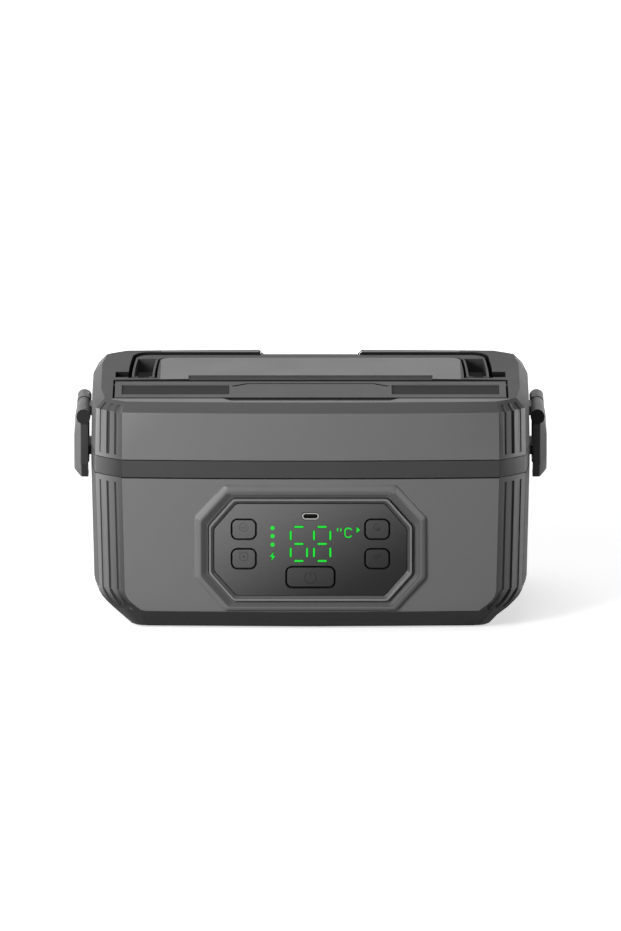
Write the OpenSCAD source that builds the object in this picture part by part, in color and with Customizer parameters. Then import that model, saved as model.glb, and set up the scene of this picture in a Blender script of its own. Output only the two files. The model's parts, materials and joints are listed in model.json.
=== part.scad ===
// Heated lunch box: battery base with control panel, lift-out pot, latched lid with
// carry handle and cutlery compartment. Millimetres, +Z up, front towards -Y,
// origin on the ground below the middle of the body.

/* [Body] */
// Width of the body over its side walls
body_w = 242; // [236:1:260]
// Depth of the body over the crown of its front and back
body_d = 150; // [148:1:170]
// Height of the base shell
base_h = 85.8; // [84:0.2:96]
// Height of the dark rim ring
rim_h = 10.1; // [9:0.1:13]
// Height of the lid
lid_h = 31.6; // [30:0.1:38]
// Wall of the outer mouldings
wall = 2.4; // [2:0.1:3]
// Crown of the front and back faces
bow = 2.8; // [1:0.1:4]
// Body width less the crowned face between the corner bands
face_side = 34.6; // [30:0.2:42]
// How far the corner bands run back from the face
corner_d = 15.6; // [13:0.2:18]
// How far the corner bands stop short of the side wall
corner_in = 2.6; // [2:0.1:4]
// How far back the side wall becomes straight
flank_d = 43; // [36:1:50]
// Side draft of the base, top to bottom
side_draft = 2; // [1:0.1:3]
// Front and back draft of the base
face_draft = 1; // [0.5:0.1:2]
// Height of the chamfer below the front face
front_chamfer_h = 10.6; // [8:0.2:12]
// Set-back of the chamfer below the front face
front_chamfer_d = 10; // [8:0.5:12]
// Height where the side chamfer meets the side wall
side_chamfer_h = 17.8; // [16:0.1:20]
// Width of the side chamfer
side_chamfer_w = 20.6; // [19:0.2:23]
// Blend length above and below the side chamfer's edge
side_blend = 4; // [2:0.2:6]
// Height of the lid's top chamfer
lid_chamfer_h = 5.2; // [4:0.1:7]
// Width of the lid's top chamfer
lid_chamfer_w = 5; // [4:0.1:6]
// Grooves in each corner band
grooves = 3; // [2:1:3]
// Radius of a corner groove
groove_r = 1.3; // [1:0.1:1.5]

/* [Base fittings] */
// Height that the feet stand below the base
foot_h = 1.2; // [1:0.1:3]
// Radius of a rubber foot
foot_r = 7; // [5:0.5:9]
// Seat of a foot in the bottom cover
foot_seat = 0.8; // [0.5:0.1:1.2]
// Body width less the bottom cover
cover_side = 66; // [60:1:76]
// Body depth less the bottom cover
cover_ends = 38; // [34:1:44]
// Corner radius of the bottom cover
cover_r = 10; // [6:1:14]
// Thickness of the bottom cover
cover_t = 2.2; // [1.8:0.1:2.6]
// Flange that carries the bottom cover and its screws
cover_lip = 6; // [5:0.5:8]
// Shaft radius of the housing screws
screw_r = 1.4; // [1.2:0.1:1.6]
// Head radius of the housing screws
screw_head_r = 2.6; // [2.3:0.1:3]
// Head height of the housing screws
screw_head_h = 1.6; // [1.2:0.1:2]

/* [Control panel] */
// Half width of the bezel
bezel_hw = 56; // [54:0.5:58]
// Height of the bezel
bezel_h = 57.7; // [54:0.1:60]
// Height of the bezel's middle above the base bottom
panel_z = 45.9; // [44:0.1:48]
// Width of the bezel's corner cut
bezel_cut_w = 13.4; // [10:0.1:16]
// Height of the bezel's corner cut
bezel_cut_h = 15.4; // [12:0.1:18]
// Length over which the octagon's corners are blunted
bezel_blunt = 1.3; // [0.8:0.1:2]
// Width of the bezel
bezel_rim = 2.8; // [2:0.1:4]
// Width of the flat line on the bezel's rim
bezel_line = 1.2; // [0.8:0.1:1.6]
// How far the bezel's rim stands out from the crown of the face
bezel_out = 1.4; // [1:0.1:2]
// How far the panel lies behind the bezel's rim
panel_deep = 1.2; // [0.8:0.1:2]
// Thickness of the panel
panel_t = 2.2; // [1.6:0.1:3]
// Width of the soft raised surround
surround = 7.8; // [6:0.2:8]
// Width of the surround below the bezel
surround_low = 6; // [4:0.2:6.2]
// Width of a small button
key_w = 12.6; // [11:0.1:14]
// Height of a small button
key_h = 10.4; // [9:0.1:12]
// Distance of the small buttons from the middle
key_x = 36.7; // [36:0.1:38]
// Height of the lower small buttons
key_z_low = 40.8; // [40:0.1:42]
// Height of the upper small buttons
key_z_high = 57.4; // [56:0.1:58]
// Width of the power button
power_w = 26; // [22:0.2:30]
// Height of the power button
power_h = 11; // [9:0.1:12]
// Height of the power button's middle
power_z = 30.4; // [29:0.1:31]
// Gap round a button
key_gap = 0.75; // [0.5:0.05:0.9]
// Corner radius of a button
key_r = 2.9; // [2.2:0.1:3.2]
// Travel of a button
key_travel = 0.5; // [0.3:0.05:0.8]
// Flange behind the panel that keeps a button in
key_flange = 1; // [0.8:0.1:1.4]
// Height of the tact switches
switch_h = 3.5; // [3:0.1:5]
// Width of the tact switches
switch_w = 6; // [5:0.1:7]
// Thickness of the circuit boards
board_t = 1.6; // [1.2:0.1:2]
// Space between bezel flange and circuit board
board_gap = 3.7; // [3.5:0.1:6]
// Width of the USB-C socket
usb_w = 9.4; // [9.2:0.1:10]
// Height of the USB-C socket
usb_h = 3.9; // [3.8:0.05:4.4]
// Wall of the USB-C socket
usb_wall = 0.8; // [0.5:0.05:0.9]
// Height of the USB-C socket's middle
usb_z = 64.8; // [64:0.1:66]
// Height of a display digit between segment middles
digit_h = 19.2; // [16:0.2:20]
// Width of a display digit between segment middles
digit_w = 9; // [7:0.1:9.4]
// Stroke of a display segment
stroke = 1.1; // [0.9:0.1:1.4]
// Length of a display segment, across and upright
segment_l = [5.4, 5.6]; // [4:0.1:7]
// Distance between the two digits
digit_pitch = 12.8; // [12:0.1:14]
// Height of the digits' middle
digit_z = 49.1; // [48:0.1:50]

/* [Pot and well] */
// Side room between body and food pot, both sides together
pot_room_w = 39; // [37:1:46]
// Front and back room between body and food pot, together
pot_room_d = 34; // [33:1:38]
// Height of the food pot
pot_h = 57.5; // [54:0.5:58]
// Corner radius of the food pot
pot_r = 18; // [14:1:24]
// Sheet thickness of the food pot
pot_t = 0.8; // [0.6:0.1:1]
// Flange of the food pot
pot_flange = 4.2; // [3:0.1:4.5]
// Taper of the food pot per side
pot_taper = 2; // [1:0.1:3]
// Gap between food pot and well
well_gap = 2; // [1.5:0.1:2.5]
// Wall of the well
well_t = 1.6; // [1.2:0.1:2]
// How far pot and well lie behind the middle of the body
well_y = 3.5; // [3:0.1:4]
// Flange of the well under the rim ring
well_flange = 6.6; // [6.4:0.1:7]
// Ledge of the rim ring under the pot flange
ledge_t = 1.6; // [1.2:0.1:2]
// Side room of the pot flange in the rim ring
rim_room = 0.6; // [0.4:0.1:1]
// Depth of the step that takes the lid's skirt
rim_step = 4; // [3:0.1:5]
// Width of the step that takes the lid's skirt
rim_step_w = 4; // [3.5:0.1:5]
// Thickness of the heating plate
plate_t = 2; // [1.5:0.1:3]
// Thickness of the heating film
film_t = 0.4; // [0.3:0.1:0.6]
// Radius of the temperature probe
probe_r = 4; // [3:0.1:5]
// Thickness of the pot lid
pot_lid_t = 2.2; // [1.8:0.1:3]
// Height of the pot lid's crown
pot_lid_rise = 3.6; // [2:0.1:4]
// Height of the pot lid's plug
plug_h = 6; // [5:0.1:8]
// Wall of the pot lid's plug
plug_t = 1.8; // [1.5:0.1:2.5]
// Radius of the steam valve's neck
valve_r = 4.5; // [3.5:0.1:6]

/* [Battery] */
// Cells in the battery
cells = 7; // [5:1:7]
// Radius of a cell
cell_r = 9.2; // [9:0.1:9.4]
// Length of a cell
cell_l = 65; // [60:1:70]
// Pitch of the cells
cell_pitch = 19.2; // [19:0.1:19.8]
// How far the battery lies left of the middle
battery_x = -24; // [-26:1:-22]
// Thickness of the battery holder's ribs
holder_t = 2.4; // [2:0.1:3]
// Thickness of the insulation board
insulation_t = 2; // [1.5:0.1:2.5]

/* [Lid fittings] */
// Body width less the cutlery cover
bar_side = 26.4; // [25:0.2:30]
// Depth of the cutlery cover
bar_d = 45; // [42:0.2:45]
// Distance of the cutlery cover from the front
bar_front = 18.6; // [18:0.1:19.5]
// Thickness of the cutlery cover
bar_t = 3; // [2.6:0.1:4]
// Gap round the cutlery cover
bar_gap = 1; // [0.6:0.1:1.2]
// Radius of the cutlery cover's hinge barrel
barrel_r = 2.7; // [2.4:0.1:3]
// Radius of the cutlery cover's hinge pins
bar_pin_r = 1.2; // [1:0.1:1.4]
// Wall of the cutlery tray and handle well
tray_t = 1.5; // [1.2:0.1:2]
// Depth of the cutlery tray below the top face
tray_h = 21; // [18:0.2:22]
// Thickness of the pads on the cutlery cover
pad_t = 1; // [0.8:0.1:1.4]
// Distance of the handle pocket's front from the side wall
pocket_side = 20.2; // [20:0.1:24]
// How far the handle pocket narrows towards the back
pocket_taper = 3; // [2:0.1:4]
// Distance of the handle pocket's front edge from the front
pocket_front = 70; // [69.5:0.1:71]
// Distance of the handle pocket's back edge from the back
pocket_back = 12.5; // [12:0.1:14]
// Width of the handle arms and their side room
arm_room = 15.9; // [15:0.1:17]
// Front to back room of the handle's bar
bar_room = 14.5; // [14:0.1:15]
// Depth of the handle pocket below the top face
pocket_h = 17; // [16.5:0.1:18]
// Distance of the handle pivot behind the pocket's front edge
pivot_in = 8; // [7.5:0.1:10]
// Radius of the handle pivot pins
pivot_r = 2.5; // [2:0.1:2.8]
// Height of the handle's arms and bar
handle_t = 9; // [8:0.1:9.4]
// Width of the handle's arms
arm_w = 12.6; // [12:0.1:13]
// Thickness of the handle's ribs
rib_t = 1.3; // [1.2:0.1:1.8]
// Depth of the handle's bar
grip_d = 7; // [6:0.1:7.4]
// How far the handle lies below the top face
handle_sunk = 0.8; // [0.5:0.1:1.2]
// Width of the pivot notch beside the pocket
notch_w = 7; // [6:0.1:8]
// Length of the pivot notch
notch_l = 14; // [12:0.5:15]
// Half width of the finger cut-out behind the handle
finger_hw = 26; // [22:0.5:30]
// Depth of the finger cut-outs
finger_h = 3.2; // [2.8:0.1:3.6]
// Half width of the finger notch before the cutlery cover
front_notch_hw = 49.7; // [44:0.1:52]
// Length of the finger notch before the cutlery cover
front_notch_d = 6.6; // [5:0.1:7]
// Thickness of the lid's inner panel
inner_t = 2; // [1.6:0.1:2.4]
// Height of the lid's inner panel above the rim ring
inner_z = 5; // [4.8:0.1:5.4]

/* [Latches] */
// Width of a latch
latch_w = 58; // [50:0.5:62]
// How far a latch stands out from the side wall
latch_out = 9.5; // [9.4:0.05:10]
// Gap between side wall and latch
latch_gap = 1.6; // [1.4:0.1:1.8]
// Height of the latch's free end above the ground
latch_z = 76.8; // [75:0.1:78]
// Distance of the latch's hinge axis below the lid's top
hinge_drop = 17.1; // [15:0.1:18]
// Distance of the latch's hinge axis from the side wall
hinge_out = 4.3; // [4.2:0.05:4.6]
// Radius of the latch's hinge barrel
hinge_r = 3.9; // [3.6:0.1:4]
// Radius of the latch pins
pin_r = 1.5; // [1.2:0.1:1.6]
// Bevel round the latch's outer face
latch_bevel = 3.9; // [3:0.1:4.2]
// Skin of a latch
latch_t = 2; // [1.6:0.1:2.2]
// Width of the lug that carries a latch
lug_w = 16; // [12:0.5:20]
// Height of the catch under the rim ring's side
catch_h = 5; // [4:0.1:6]
// Width of the catch
catch_w = 26; // [20:0.5:30]

/* [Fits] */
// Running clearance of pins, on the radius
running = 0.05; // [0.02:0.01:0.1]
// Gap between mouldings that fit together
fit = 0.2; // [0.1:0.05:0.3]
// Gap between moving faces
free = 0.3; // [0.25:0.05:0.4]

/* [Hidden] */

// Heights above the ground
base_top = foot_h + base_h;
rim_top = base_top + rim_h;
lid_top = rim_top + lid_h;
// Front-to-back places
front_y = -body_d / 2;
side_x = body_w / 2;
face_w = body_w - face_side;
bar_w = body_w - bar_side;
cover_w = body_w - cover_side;
cover_d = body_d - cover_ends;
pocket_hw = side_x - pocket_side;
pot_w = body_w - pot_room_w;
pot_d = body_d - pot_room_d;
cut = 1; // overshoot of a cut past a face

// ---- Outlines -------------------------------------------------------------

function unit(v) = v / norm(v);
function mix(a, b, t) = a + (b - a) * t;

// Outward normal of the edge that leaves point i of a counter-clockwise outline
function edge_normal(p, i) =
    let (d = unit(p[(i + 1) % len(p)] - p[i])) [d[1], -d[0]];

// The outline moved inwards by e
function inset(p, e) = [for (i = [0:len(p) - 1])
    let (a = edge_normal(p, (i + len(p) - 1) % len(p)), b = edge_normal(p, i))
    p[i] - e * (a + b) / (1 + a * b)];

// Closed outline from its front right quarter, mirrored to the back and to the left
function closed(q) =
    let (right = concat(q, [for (i = [len(q) - 1:-1:0]) [q[i][0], -q[i][1]]]))
    concat(right, [for (i = [len(right) - 2:-1:1]) [-right[i][0], right[i][1]]]);

// Plan of the body: crowned face, slightly convex corner band, long flank
bow_steps = 4;
band_crown = 0.8;
function plan_quarter(hw, hd, face, band, flank) =
    let (p1 = [face, -hd + bow], p2 = [hw - corner_in, -hd + bow + band],
         out = unit([p2[1] - p1[1], p1[0] - p2[0]]))
    concat([for (i = [0:bow_steps]) [face * i / bow_steps, -hd + bow * pow(i / bow_steps, 2)]],
        [(p1 + p2) / 2 + band_crown * out, p2, [hw, -hd + flank]]);

band_d = corner_d - bow;
full_plan = closed(plan_quarter(side_x, body_d / 2, face_w / 2, band_d, flank_d));

// Inward set of the side wall at height z above the base bottom: a chamfer with a soft edge
side_slope = side_chamfer_w / side_chamfer_h;
blend_low = side_chamfer_h - side_blend;
blend_top = side_chamfer_h + side_blend;
function side_set(z) = z >= blend_top ? 0 : z <= blend_low ? side_slope * (side_chamfer_h - z)
    : side_slope * side_blend * pow((blend_top - z) / (blend_top - blend_low), 2);
function face_set(z) = front_chamfer_d * max(0, 1 - z / front_chamfer_h);

// Plan of the base at height z above its bottom
foot_face = 90;
foot_band = 1.5;
foot_flank = 8;
function base_plan(z) =
    let (up = 1 - z / base_h, k = side_set(z) / side_set(0))
    closed(plan_quarter(side_x - side_draft * up - side_set(z),
        body_d / 2 - face_draft * up - face_set(z),
        max(foot_face * k, face_w / 2 - side_draft * up - 1.1 * side_set(z)),
        mix(band_d, foot_band, k), mix(flank_d, foot_flank, k)));

base_levels = [0, front_chamfer_h, blend_low, side_chamfer_h - side_blend / 3,
    side_chamfer_h + side_blend / 3, blend_top, base_h];

// Plan of the lid at height z above the rim ring
lid_draft = 0.5;
lid_shoulder = lid_h - lid_chamfer_h;
function lid_set(z) = z <= lid_shoulder ? lid_draft * z / lid_shoulder
    : lid_draft + lid_chamfer_w * (z - lid_shoulder) / lid_chamfer_h;
function lid_plan(z) = inset(full_plan, lid_set(z));
lid_levels = [0, lid_shoulder, lid_h];

// ---- Solids ---------------------------------------------------------------

// Solid through a list of [height, outline], all outlines with as many points
module loft(slices) {
    n = len(slices[0][1]);
    m = len(slices);
    points = [for (s = slices) for (p = s[1]) [p[0], p[1], s[0]]];
    sides = [for (k = [0:m - 2]) for (i = [0:n - 1])
        let (a = k * n + i, b = k * n + (i + 1) % n)
        each [[a, a + n, b + n], [a, b + n, b]]];
    bottom = [for (i = [0:n - 1]) i];
    top = [for (i = [n - 1:-1:0]) (m - 1) * n + i];
    polyhedron(points, concat([bottom], sides, [top]), convexity = 4);
}

// Flat shape in X and Z, from y0 back to y1
module upright(y0, y1) {
    translate([0, y1, 0]) rotate([90, 0, 0]) linear_extrude(y1 - y0) children();
}

// Flat shape in X and Y, from z0 up to z1
module level(z0, z1) {
    translate([0, 0, z0]) linear_extrude(z1 - z0) children();
}

// Rounded rectangle with true arcs
module round_rect(w, d, r) {
    square([w - 2 * r, d], center = true);
    square([w, d - 2 * r], center = true);
    for (x = [-1, 1], y = [-1, 1]) translate([x * (w / 2 - r), y * (d / 2 - r)]) circle(r, $fn = 32);
}

// Rounded rectangle as points, for lofts
function rect_points(w, d, r) = [for (c = [[1, -1, -90], [1, 1, 0], [-1, 1, 90], [-1, -1, 180]])
    for (a = [0:15:90]) [c[0] * (w / 2 - r) + r * cos(c[2] + a), c[1] * (d / 2 - r) + r * sin(c[2] + a)]];

// Box between two corners
module span(a, b) {
    translate(a) cube(b - a);
}

// Round bar from a to b
module rod(a, b, r, sides = 24) {
    v = b - a;
    translate(a) rotate([0, acos(v[2] / norm(v)), atan2(v[1], v[0])])
        cylinder(h = norm(v), r = r, $fn = sides);
}

// Pan-head screw: head below, shaft upwards from z = 0
module screw(length) {
    cylinder(h = length, r = screw_r, $fn = 16);
    translate([0, 0, -screw_head_h]) cylinder(h = screw_head_h, r = screw_head_r, $fn = 24);
}

module both_sides() {
    children();
    mirror([1, 0, 0]) children();
}

// ---- Corner grooves -------------------------------------------------------

groove_sink = 0.4; // how far the groove's axis lies outside the surface
function groove_share(g) = (g + 0.75) / (grooves + 0.5);

// Point of groove g on the corner band of a plan quarter
function band_point(p, g) =
    let (a = p[bow_steps], b = p[bow_steps + 2], out = unit([b[1] - a[1], a[0] - b[0]]))
    mix(a, b, groove_share(g)) + (band_crown * 0.7 + groove_sink) * out;

module corner_grooves(path) {
    for (g = [0:grooves - 1], mx = [0, 1], my = [0, 1]) mirror([mx, 0, 0]) mirror([0, my, 0])
        for (i = [0:len(path) - 2])
            let (a = band_point(path[i][1], g), b = band_point(path[i + 1][1], g))
            rod([a[0], a[1], path[i][0]], [b[0], b[1], path[i + 1][0]], groove_r, 8);
}

// ---- Control panel outlines and heights -----------------------------------

bezel_y = front_y - bezel_out;          // front of the bezel's rim
panel_y = bezel_y + panel_deep;         // front of the panel
panel_back = panel_y + panel_t;
lip_t = 1.5;                            // lip of the bezel behind the panel
lip_w = 2;
flange_y = panel_back + lip_t;          // front of the bezel's flange
flange_t = 1.2;
flange_w = 2.2;
board_y = flange_y + flange_t + board_gap;
bezel_low = foot_h + panel_z - bezel_h / 2;

// Outline with each corner blunted over the length t
function blunt(q, t) = [for (i = [0:len(q) - 1])
    let (p = q[i], a = q[(i + len(q) - 1) % len(q)] - p, b = q[(i + 1) % len(q)] - p)
    for (m = [0, 0.5, 1]) p + t * (a / norm(a) * pow(1 - m, 2) + b / norm(b) * pow(m, 2))];

// Octagon of the panel, grown by e and below by low
function octagon_points(e, low) =
    let (w = bezel_hw + e, top = bezel_h / 2 + e, foot = bezel_h / 2 + low,
        cx = bezel_cut_w + 0.4 * e, cz = bezel_cut_h + 0.4 * e)
    blunt([[w - cx, -foot], [w, cz - foot], [w, top - cz], [w - cx, top], [cx - w, top], [-w, top - cz],
        [-w, cz - foot], [cx - w, -foot]], bezel_blunt);
module octagon(e)
    translate([0, foot_h + panel_z]) polygon(octagon_points(e, e));

// Rounded rectangle in the panel, grown by e
module key_shape(x, z, w, h, e) {
    translate([x, foot_h + z]) round_rect(w + 2 * e, h + 2 * e, key_r + e);
}

// Buttons: [x, z, width, height]
schedule_key = [-key_x, key_z_high, key_w, key_h];
timer_key = [-key_x, key_z_low, key_w, key_h];
heat_key = [key_x, key_z_high, key_w, key_h];
warm_key = [key_x, key_z_low, key_w, key_h];
power_key = [0, power_z, power_w, power_h];
keys = [schedule_key, timer_key, heat_key, warm_key, power_key];

// ---- Well, pot and battery places -----------------------------------------

well_w = pot_w + 2 * well_gap;
well_d = pot_d + 2 * well_gap;
well_r = pot_r + well_gap;
pot_roll = 2.2;                         // height of the rolled edge round the pot's flange
ledge_top = base_top + ledge_t;
pot_top = ledge_top + free + pot_roll;
pot_bottom = pot_top - pot_h;
plate_z = pot_bottom - plate_t;
film_z = plate_z - film_t;
well_floor = film_z - well_t;
battery_z = foot_h + wall + free + holder_t / 2 + cell_r;
insulation_z = well_floor - insulation_t - free;
rim_open = [pot_w, pot_d] + 2 * (pot_flange + rim_room) * [1, 1];
rim_open_r = pot_r + pot_flange + rim_room;

// ---- Base -----------------------------------------------------------------

inside_set = 0.4 * wall; // lifts the inner chamfers so that the sloping walls keep their thickness

module base_shell() color([0.34, 0.34, 0.35]) {
    lip_top = foot_h + wall;
    difference() {
        union() {
            difference() {
                translate([0, 0, foot_h]) loft([for (z = base_levels) [z, base_plan(z)]]);
                translate([0, 0, foot_h]) loft([for (i = [0:len(base_levels) - 1])
                    let (z = base_levels[i])
                    [i == 0 ? wall : i == len(base_levels) - 1 ? z + cut : z + inside_set,
                        inset(base_plan(z), wall)]]);
            }
            panel_frame();
        }
        panel_valley();
        upright(bezel_y - cut, board_y) octagon(fit);
        upright(flange_y, board_y) octagon(flange_w + fit);
        level(foot_h - cut, lip_top + cut)
            round_rect(cover_w - 2 * cover_lip, cover_d - 2 * cover_lip, cover_r);
        level(foot_h - cut, foot_h + cover_t)
            round_rect(cover_w + 2 * fit, cover_d + 2 * fit, cover_r + fit);
        for (p = cover_screws) translate([p[0], p[1], foot_h])
            cylinder(h = wall + cut, r = screw_r, $fn = 16);
        translate([0, 0, foot_h])
            corner_grooves([for (z = [base_h - 3, blend_top, blend_low, front_chamfer_h + 1])
            [z, base_plan(z)]]);
    }
}

// Ring of the surround at the share t of its width, narrower below
function ring(t) = octagon_points(surround * t, surround_low * t);

// Soft raised surround in front and flat seat behind the opening for the bezel
crest_y = bezel_y + 0.5;
module panel_frame() {
    seat = 0.6;
    intersection() {
        translate([0, front_y + wall, foot_h + panel_z]) rotate([90, 0, 0]) loft([
            [0, ring(1)],
            [wall - 0.3, ring(0.96)],
            [front_y + wall - crest_y - 0.5, ring(0.82)],
            [front_y + wall - crest_y - 0.1, ring(0.68)],
            [front_y + wall - crest_y, ring(0.56)]]);
        span([-side_x, bezel_y - cut, foot_h], [side_x, 0, base_top]);
    }
    upright(front_y + seat, flange_y) intersection() {
        octagon(surround_low - 0.6);
        translate([0, base_top / 2]) square([body_w, base_top - 2 * front_chamfer_h], center = true);
    }
}

// Valley between the crest of the surround and the bezel
valley = 1.5;                            // depth below the crest
module panel_valley() {
    translate([0, crest_y, foot_h + panel_z]) rotate([90, 0, 0]) loft([
        [-valley, ring(0.1)],
        [-0.75 * valley, ring(0.24)],
        [-0.2 * valley, ring(0.44)],
        [0, ring(0.56)],
        [cut, ring(0.8)]]);
}

cover_screw_x = (cover_w - cover_lip) / 2;
cover_screw_y = (cover_d - cover_lip) / 2 - cover_r;
cover_screws = [for (x = [-1, 0, 1], y = [-1, 1])
    x == 0 ? [0, y * (cover_d - cover_lip) / 2] : [x * cover_screw_x, y * cover_screw_y]];

// Rim ring: outer band, ledge under the pot flange, step for the lid's skirt, side catches
catch_out = 3.2;
module rim_ring() color([0.2, 0.2, 0.21]) {
    difference() {
        union() {
            level(base_top, rim_top) polygon(full_plan);
            both_sides() upright_side(catch_w)
                polygon([[side_x - cut, base_top], [side_x + catch_out, base_top],
                [side_x + catch_out, base_top + catch_h - 1], [side_x + catch_out - 1, base_top + catch_h],
                [side_x - cut, base_top + catch_h]]);
        }
        translate([0, well_y]) {
            level(base_top - cut, rim_top + cut) round_rect(well_w, well_d, well_r);
            level(ledge_top, rim_top + cut) round_rect(rim_open[0], rim_open[1], rim_open_r);
            level(rim_top - rim_step, rim_top + cut)
                round_rect(rim_open[0] + 2 * rim_step_w, rim_open[1] + 2 * rim_step_w,
                    rim_open_r + rim_step_w);
        }
        for (p = rim_screw_places) translate([p[0], p[1], base_top - cut])
            cylinder(h = 8, r = screw_r, $fn = 16);
    }
}

// Flat shape in X and Z, centred on the side, w wide front to back
module upright_side(w) {
    upright(-w / 2, w / 2) children();
}

rim_screw_out = well_t + screw_head_r + 1; // from the well's inside to the screws
rim_screw_places = concat([for (x = [-1, 1]) [x * (well_w / 2 + rim_screw_out), well_y]],
    [for (x = [-1, 1], y = [-1, 1])
        [x * (well_w / 2 - well_r + (well_r + rim_screw_out) * cos(45)),
            well_y + y * (well_d / 2 - well_r + (well_r + rim_screw_out) * sin(45))]]);

// Screws that pull the rim ring down on the well's flange
module rim_screws() color([0.6, 0.6, 0.62])
    for (p = rim_screw_places) translate([p[0], p[1], base_top - well_t]) screw(7);

module inner_well() color([0.5, 0.5, 0.52]) {
    difference() {
        translate([0, well_y]) difference() {
            union() {
                level(well_floor, base_top)
                    round_rect(well_w + 2 * well_t, well_d + 2 * well_t, well_r + well_t);
                level(base_top - well_t, base_top) intersection() {
                    round_rect(well_w + 2 * (well_t + well_flange), well_d + 2 * (well_t + well_flange),
                        well_r + well_t + well_flange);
                    translate([0, -well_y]) polygon(inset(full_plan, wall + fit));
                }
            }
            level(film_z, base_top + cut) round_rect(well_w, well_d, well_r);
        }
        for (p = rim_screw_places) translate([p[0], p[1], base_top - 2 * well_t])
            cylinder(h = 3 * well_t, r = screw_r + running, $fn = 16);
        translate([0, well_y, well_floor - cut]) cylinder(h = 3 * well_t, r = probe_r + fit, $fn = 32);
    }
}

plate_w = well_w - 2 * fit - 4;
plate_d = well_d - 2 * fit - 4;
module heating_film() color([0.75, 0.45, 0.15])
    translate([0, well_y]) difference() {
        level(film_z, plate_z) round_rect(plate_w, plate_d, well_r - 2);
        translate([0, 0, film_z - cut]) cylinder(h = 3, r = probe_r + fit, $fn = 32);
    }

module heating_plate() color([0.8, 0.8, 0.82])
    translate([0, well_y]) difference() {
        level(plate_z, pot_bottom) round_rect(plate_w, plate_d, well_r - 2);
        translate([0, 0, plate_z - cut]) cylinder(h = 2 * plate_t + cut, r = probe_r + fit, $fn = 32);
    }

// Probe that reads the pot's temperature through the plate, on a foot under the well
module temperature_probe() color([0.7, 0.7, 0.72]) {
    foot_z = well_floor - 2;
    translate([0, well_y]) {
        translate([0, 0, foot_z + 2 - cut])
            cylinder(h = pot_bottom - free - foot_z - 2 + cut, r = probe_r, $fn = 32);
        translate([0, 0, foot_z]) cylinder(h = 2, r = probe_r + 2.5, $fn = 32);
    }
}

module bottom_cover() color([0.24, 0.24, 0.25]) {
    cover_z = foot_h;
    difference() {
        union() {
            level(cover_z, cover_z + cover_t) round_rect(cover_w, cover_d, cover_r);
            for (p = board_posts) translate([p[0], p[1], cover_z + cover_t - 0.5])
                cylinder(h = charge_z - cover_z - cover_t + 0.5, r = 3, $fn = 24);
        }
        for (p = cover_screws) translate([p[0], p[1], cover_z - cut]) {
            cylinder(h = wall + 2 * cut, r = screw_r + running, $fn = 16);
            cylinder(h = cut + screw_head_h, r = screw_head_r + fit, $fn = 24);
        }
        for (x = [-1, 1], y = [-1, 1]) translate([x * foot_x, y * foot_y, cover_z - cut])
            cylinder(h = cut + foot_seat, r = foot_r + fit, $fn = 32);
        for (p = board_posts) translate([p[0], p[1], cover_z + cover_t])
            cylinder(h = 10, r = 1.2, $fn = 16);
    }
}

module bottom_screws() color([0.6, 0.6, 0.62])
    for (p = cover_screws) translate([p[0], p[1], foot_h + screw_head_h]) screw(5);

foot_x = cover_w / 2 - cover_lip - foot_r - 4;
foot_y = cover_d / 2 - cover_lip - foot_r - 1;
module rubber_feet() color([0.12, 0.12, 0.12])
    for (x = [-1, 1], y = [-1, 1]) translate([x * foot_x, y * foot_y])
        cylinder(h = foot_h + foot_seat, r = foot_r, $fn = 48);

// ---- Battery and charging -------------------------------------------------

function cell_x(i) = battery_x + (i - (cells - 1) / 2) * cell_pitch;

module battery_cells() color([0.15, 0.4, 0.6])
    for (i = [0:cells - 1]) translate([cell_x(i), well_y + cell_l / 2, battery_z])
        rotate([90, 0, 0]) cylinder(h = cell_l, r = cell_r, $fn = 48);

holder_floor = battery_z - cell_r - holder_t / 2;
holder_y = cell_l / 2 - 9;
module battery_holder() color([0.1, 0.1, 0.1]) {
    width = cells * cell_pitch + 2 * holder_t;
    difference() {
        union() {
            span([battery_x - width / 2, well_y - holder_y - 3, foot_h + wall],
                [battery_x + width / 2, well_y + holder_y + 3, battery_z - cell_r / 2]);
        }
        for (i = [0:cells - 1]) translate([cell_x(i), well_y + cell_l, battery_z])
            rotate([90, 0, 0]) cylinder(h = 2 * cell_l, r = cell_r, $fn = 48);
        span([battery_x - width, well_y - holder_y + 3, holder_floor + 1],
            [battery_x + width, well_y + holder_y - 3, battery_z]);
    }
}

// Strap that presses the cells down, clipped over the holder's ends
module battery_clamp() color([0.1, 0.1, 0.1]) {
    width = cells * cell_pitch + 2 * holder_t;
    difference() {
        span([battery_x - width / 2 - holder_t, well_y - 6, foot_h + wall],
            [battery_x + width / 2 + holder_t, well_y + 6, battery_z + cell_r + 0.8]);
        span([battery_x - width / 2, well_y - 7, foot_h],
            [battery_x + width / 2, well_y + 7, battery_z + 2]);
        for (i = [0:cells - 1]) translate([cell_x(i), well_y + cell_l, battery_z])
            rotate([90, 0, 0]) cylinder(h = 2 * cell_l, r = cell_r, $fn = 48);
    }
}

// Nickel strips that join the cells in series, alternately at the front and the back
link_t = 0.3;
module cell_links() color([0.8, 0.8, 0.75])
    for (i = [0:cells - 2]) {
        end = i % 2 == 0 ? 1 : -1;
        y = well_y + end * (cell_l / 2 + link_t / 2);
        span([cell_x(i) - 4, y - link_t / 2, battery_z - 3], [cell_x(i + 1) + 4, y + link_t / 2,
            battery_z + 3]);
    }

charge_z = foot_h + cover_t + 4;
charge_x = battery_x + cells * cell_pitch / 2 + 2 * holder_t + 3;
charge_w = cover_w / 2 - cover_lip - charge_x - 1;
charge_d = 62;
board_posts = [for (y = [-1, 1]) [charge_x + charge_w / 2, well_y + y * (charge_d / 2 - 5)]];

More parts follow.
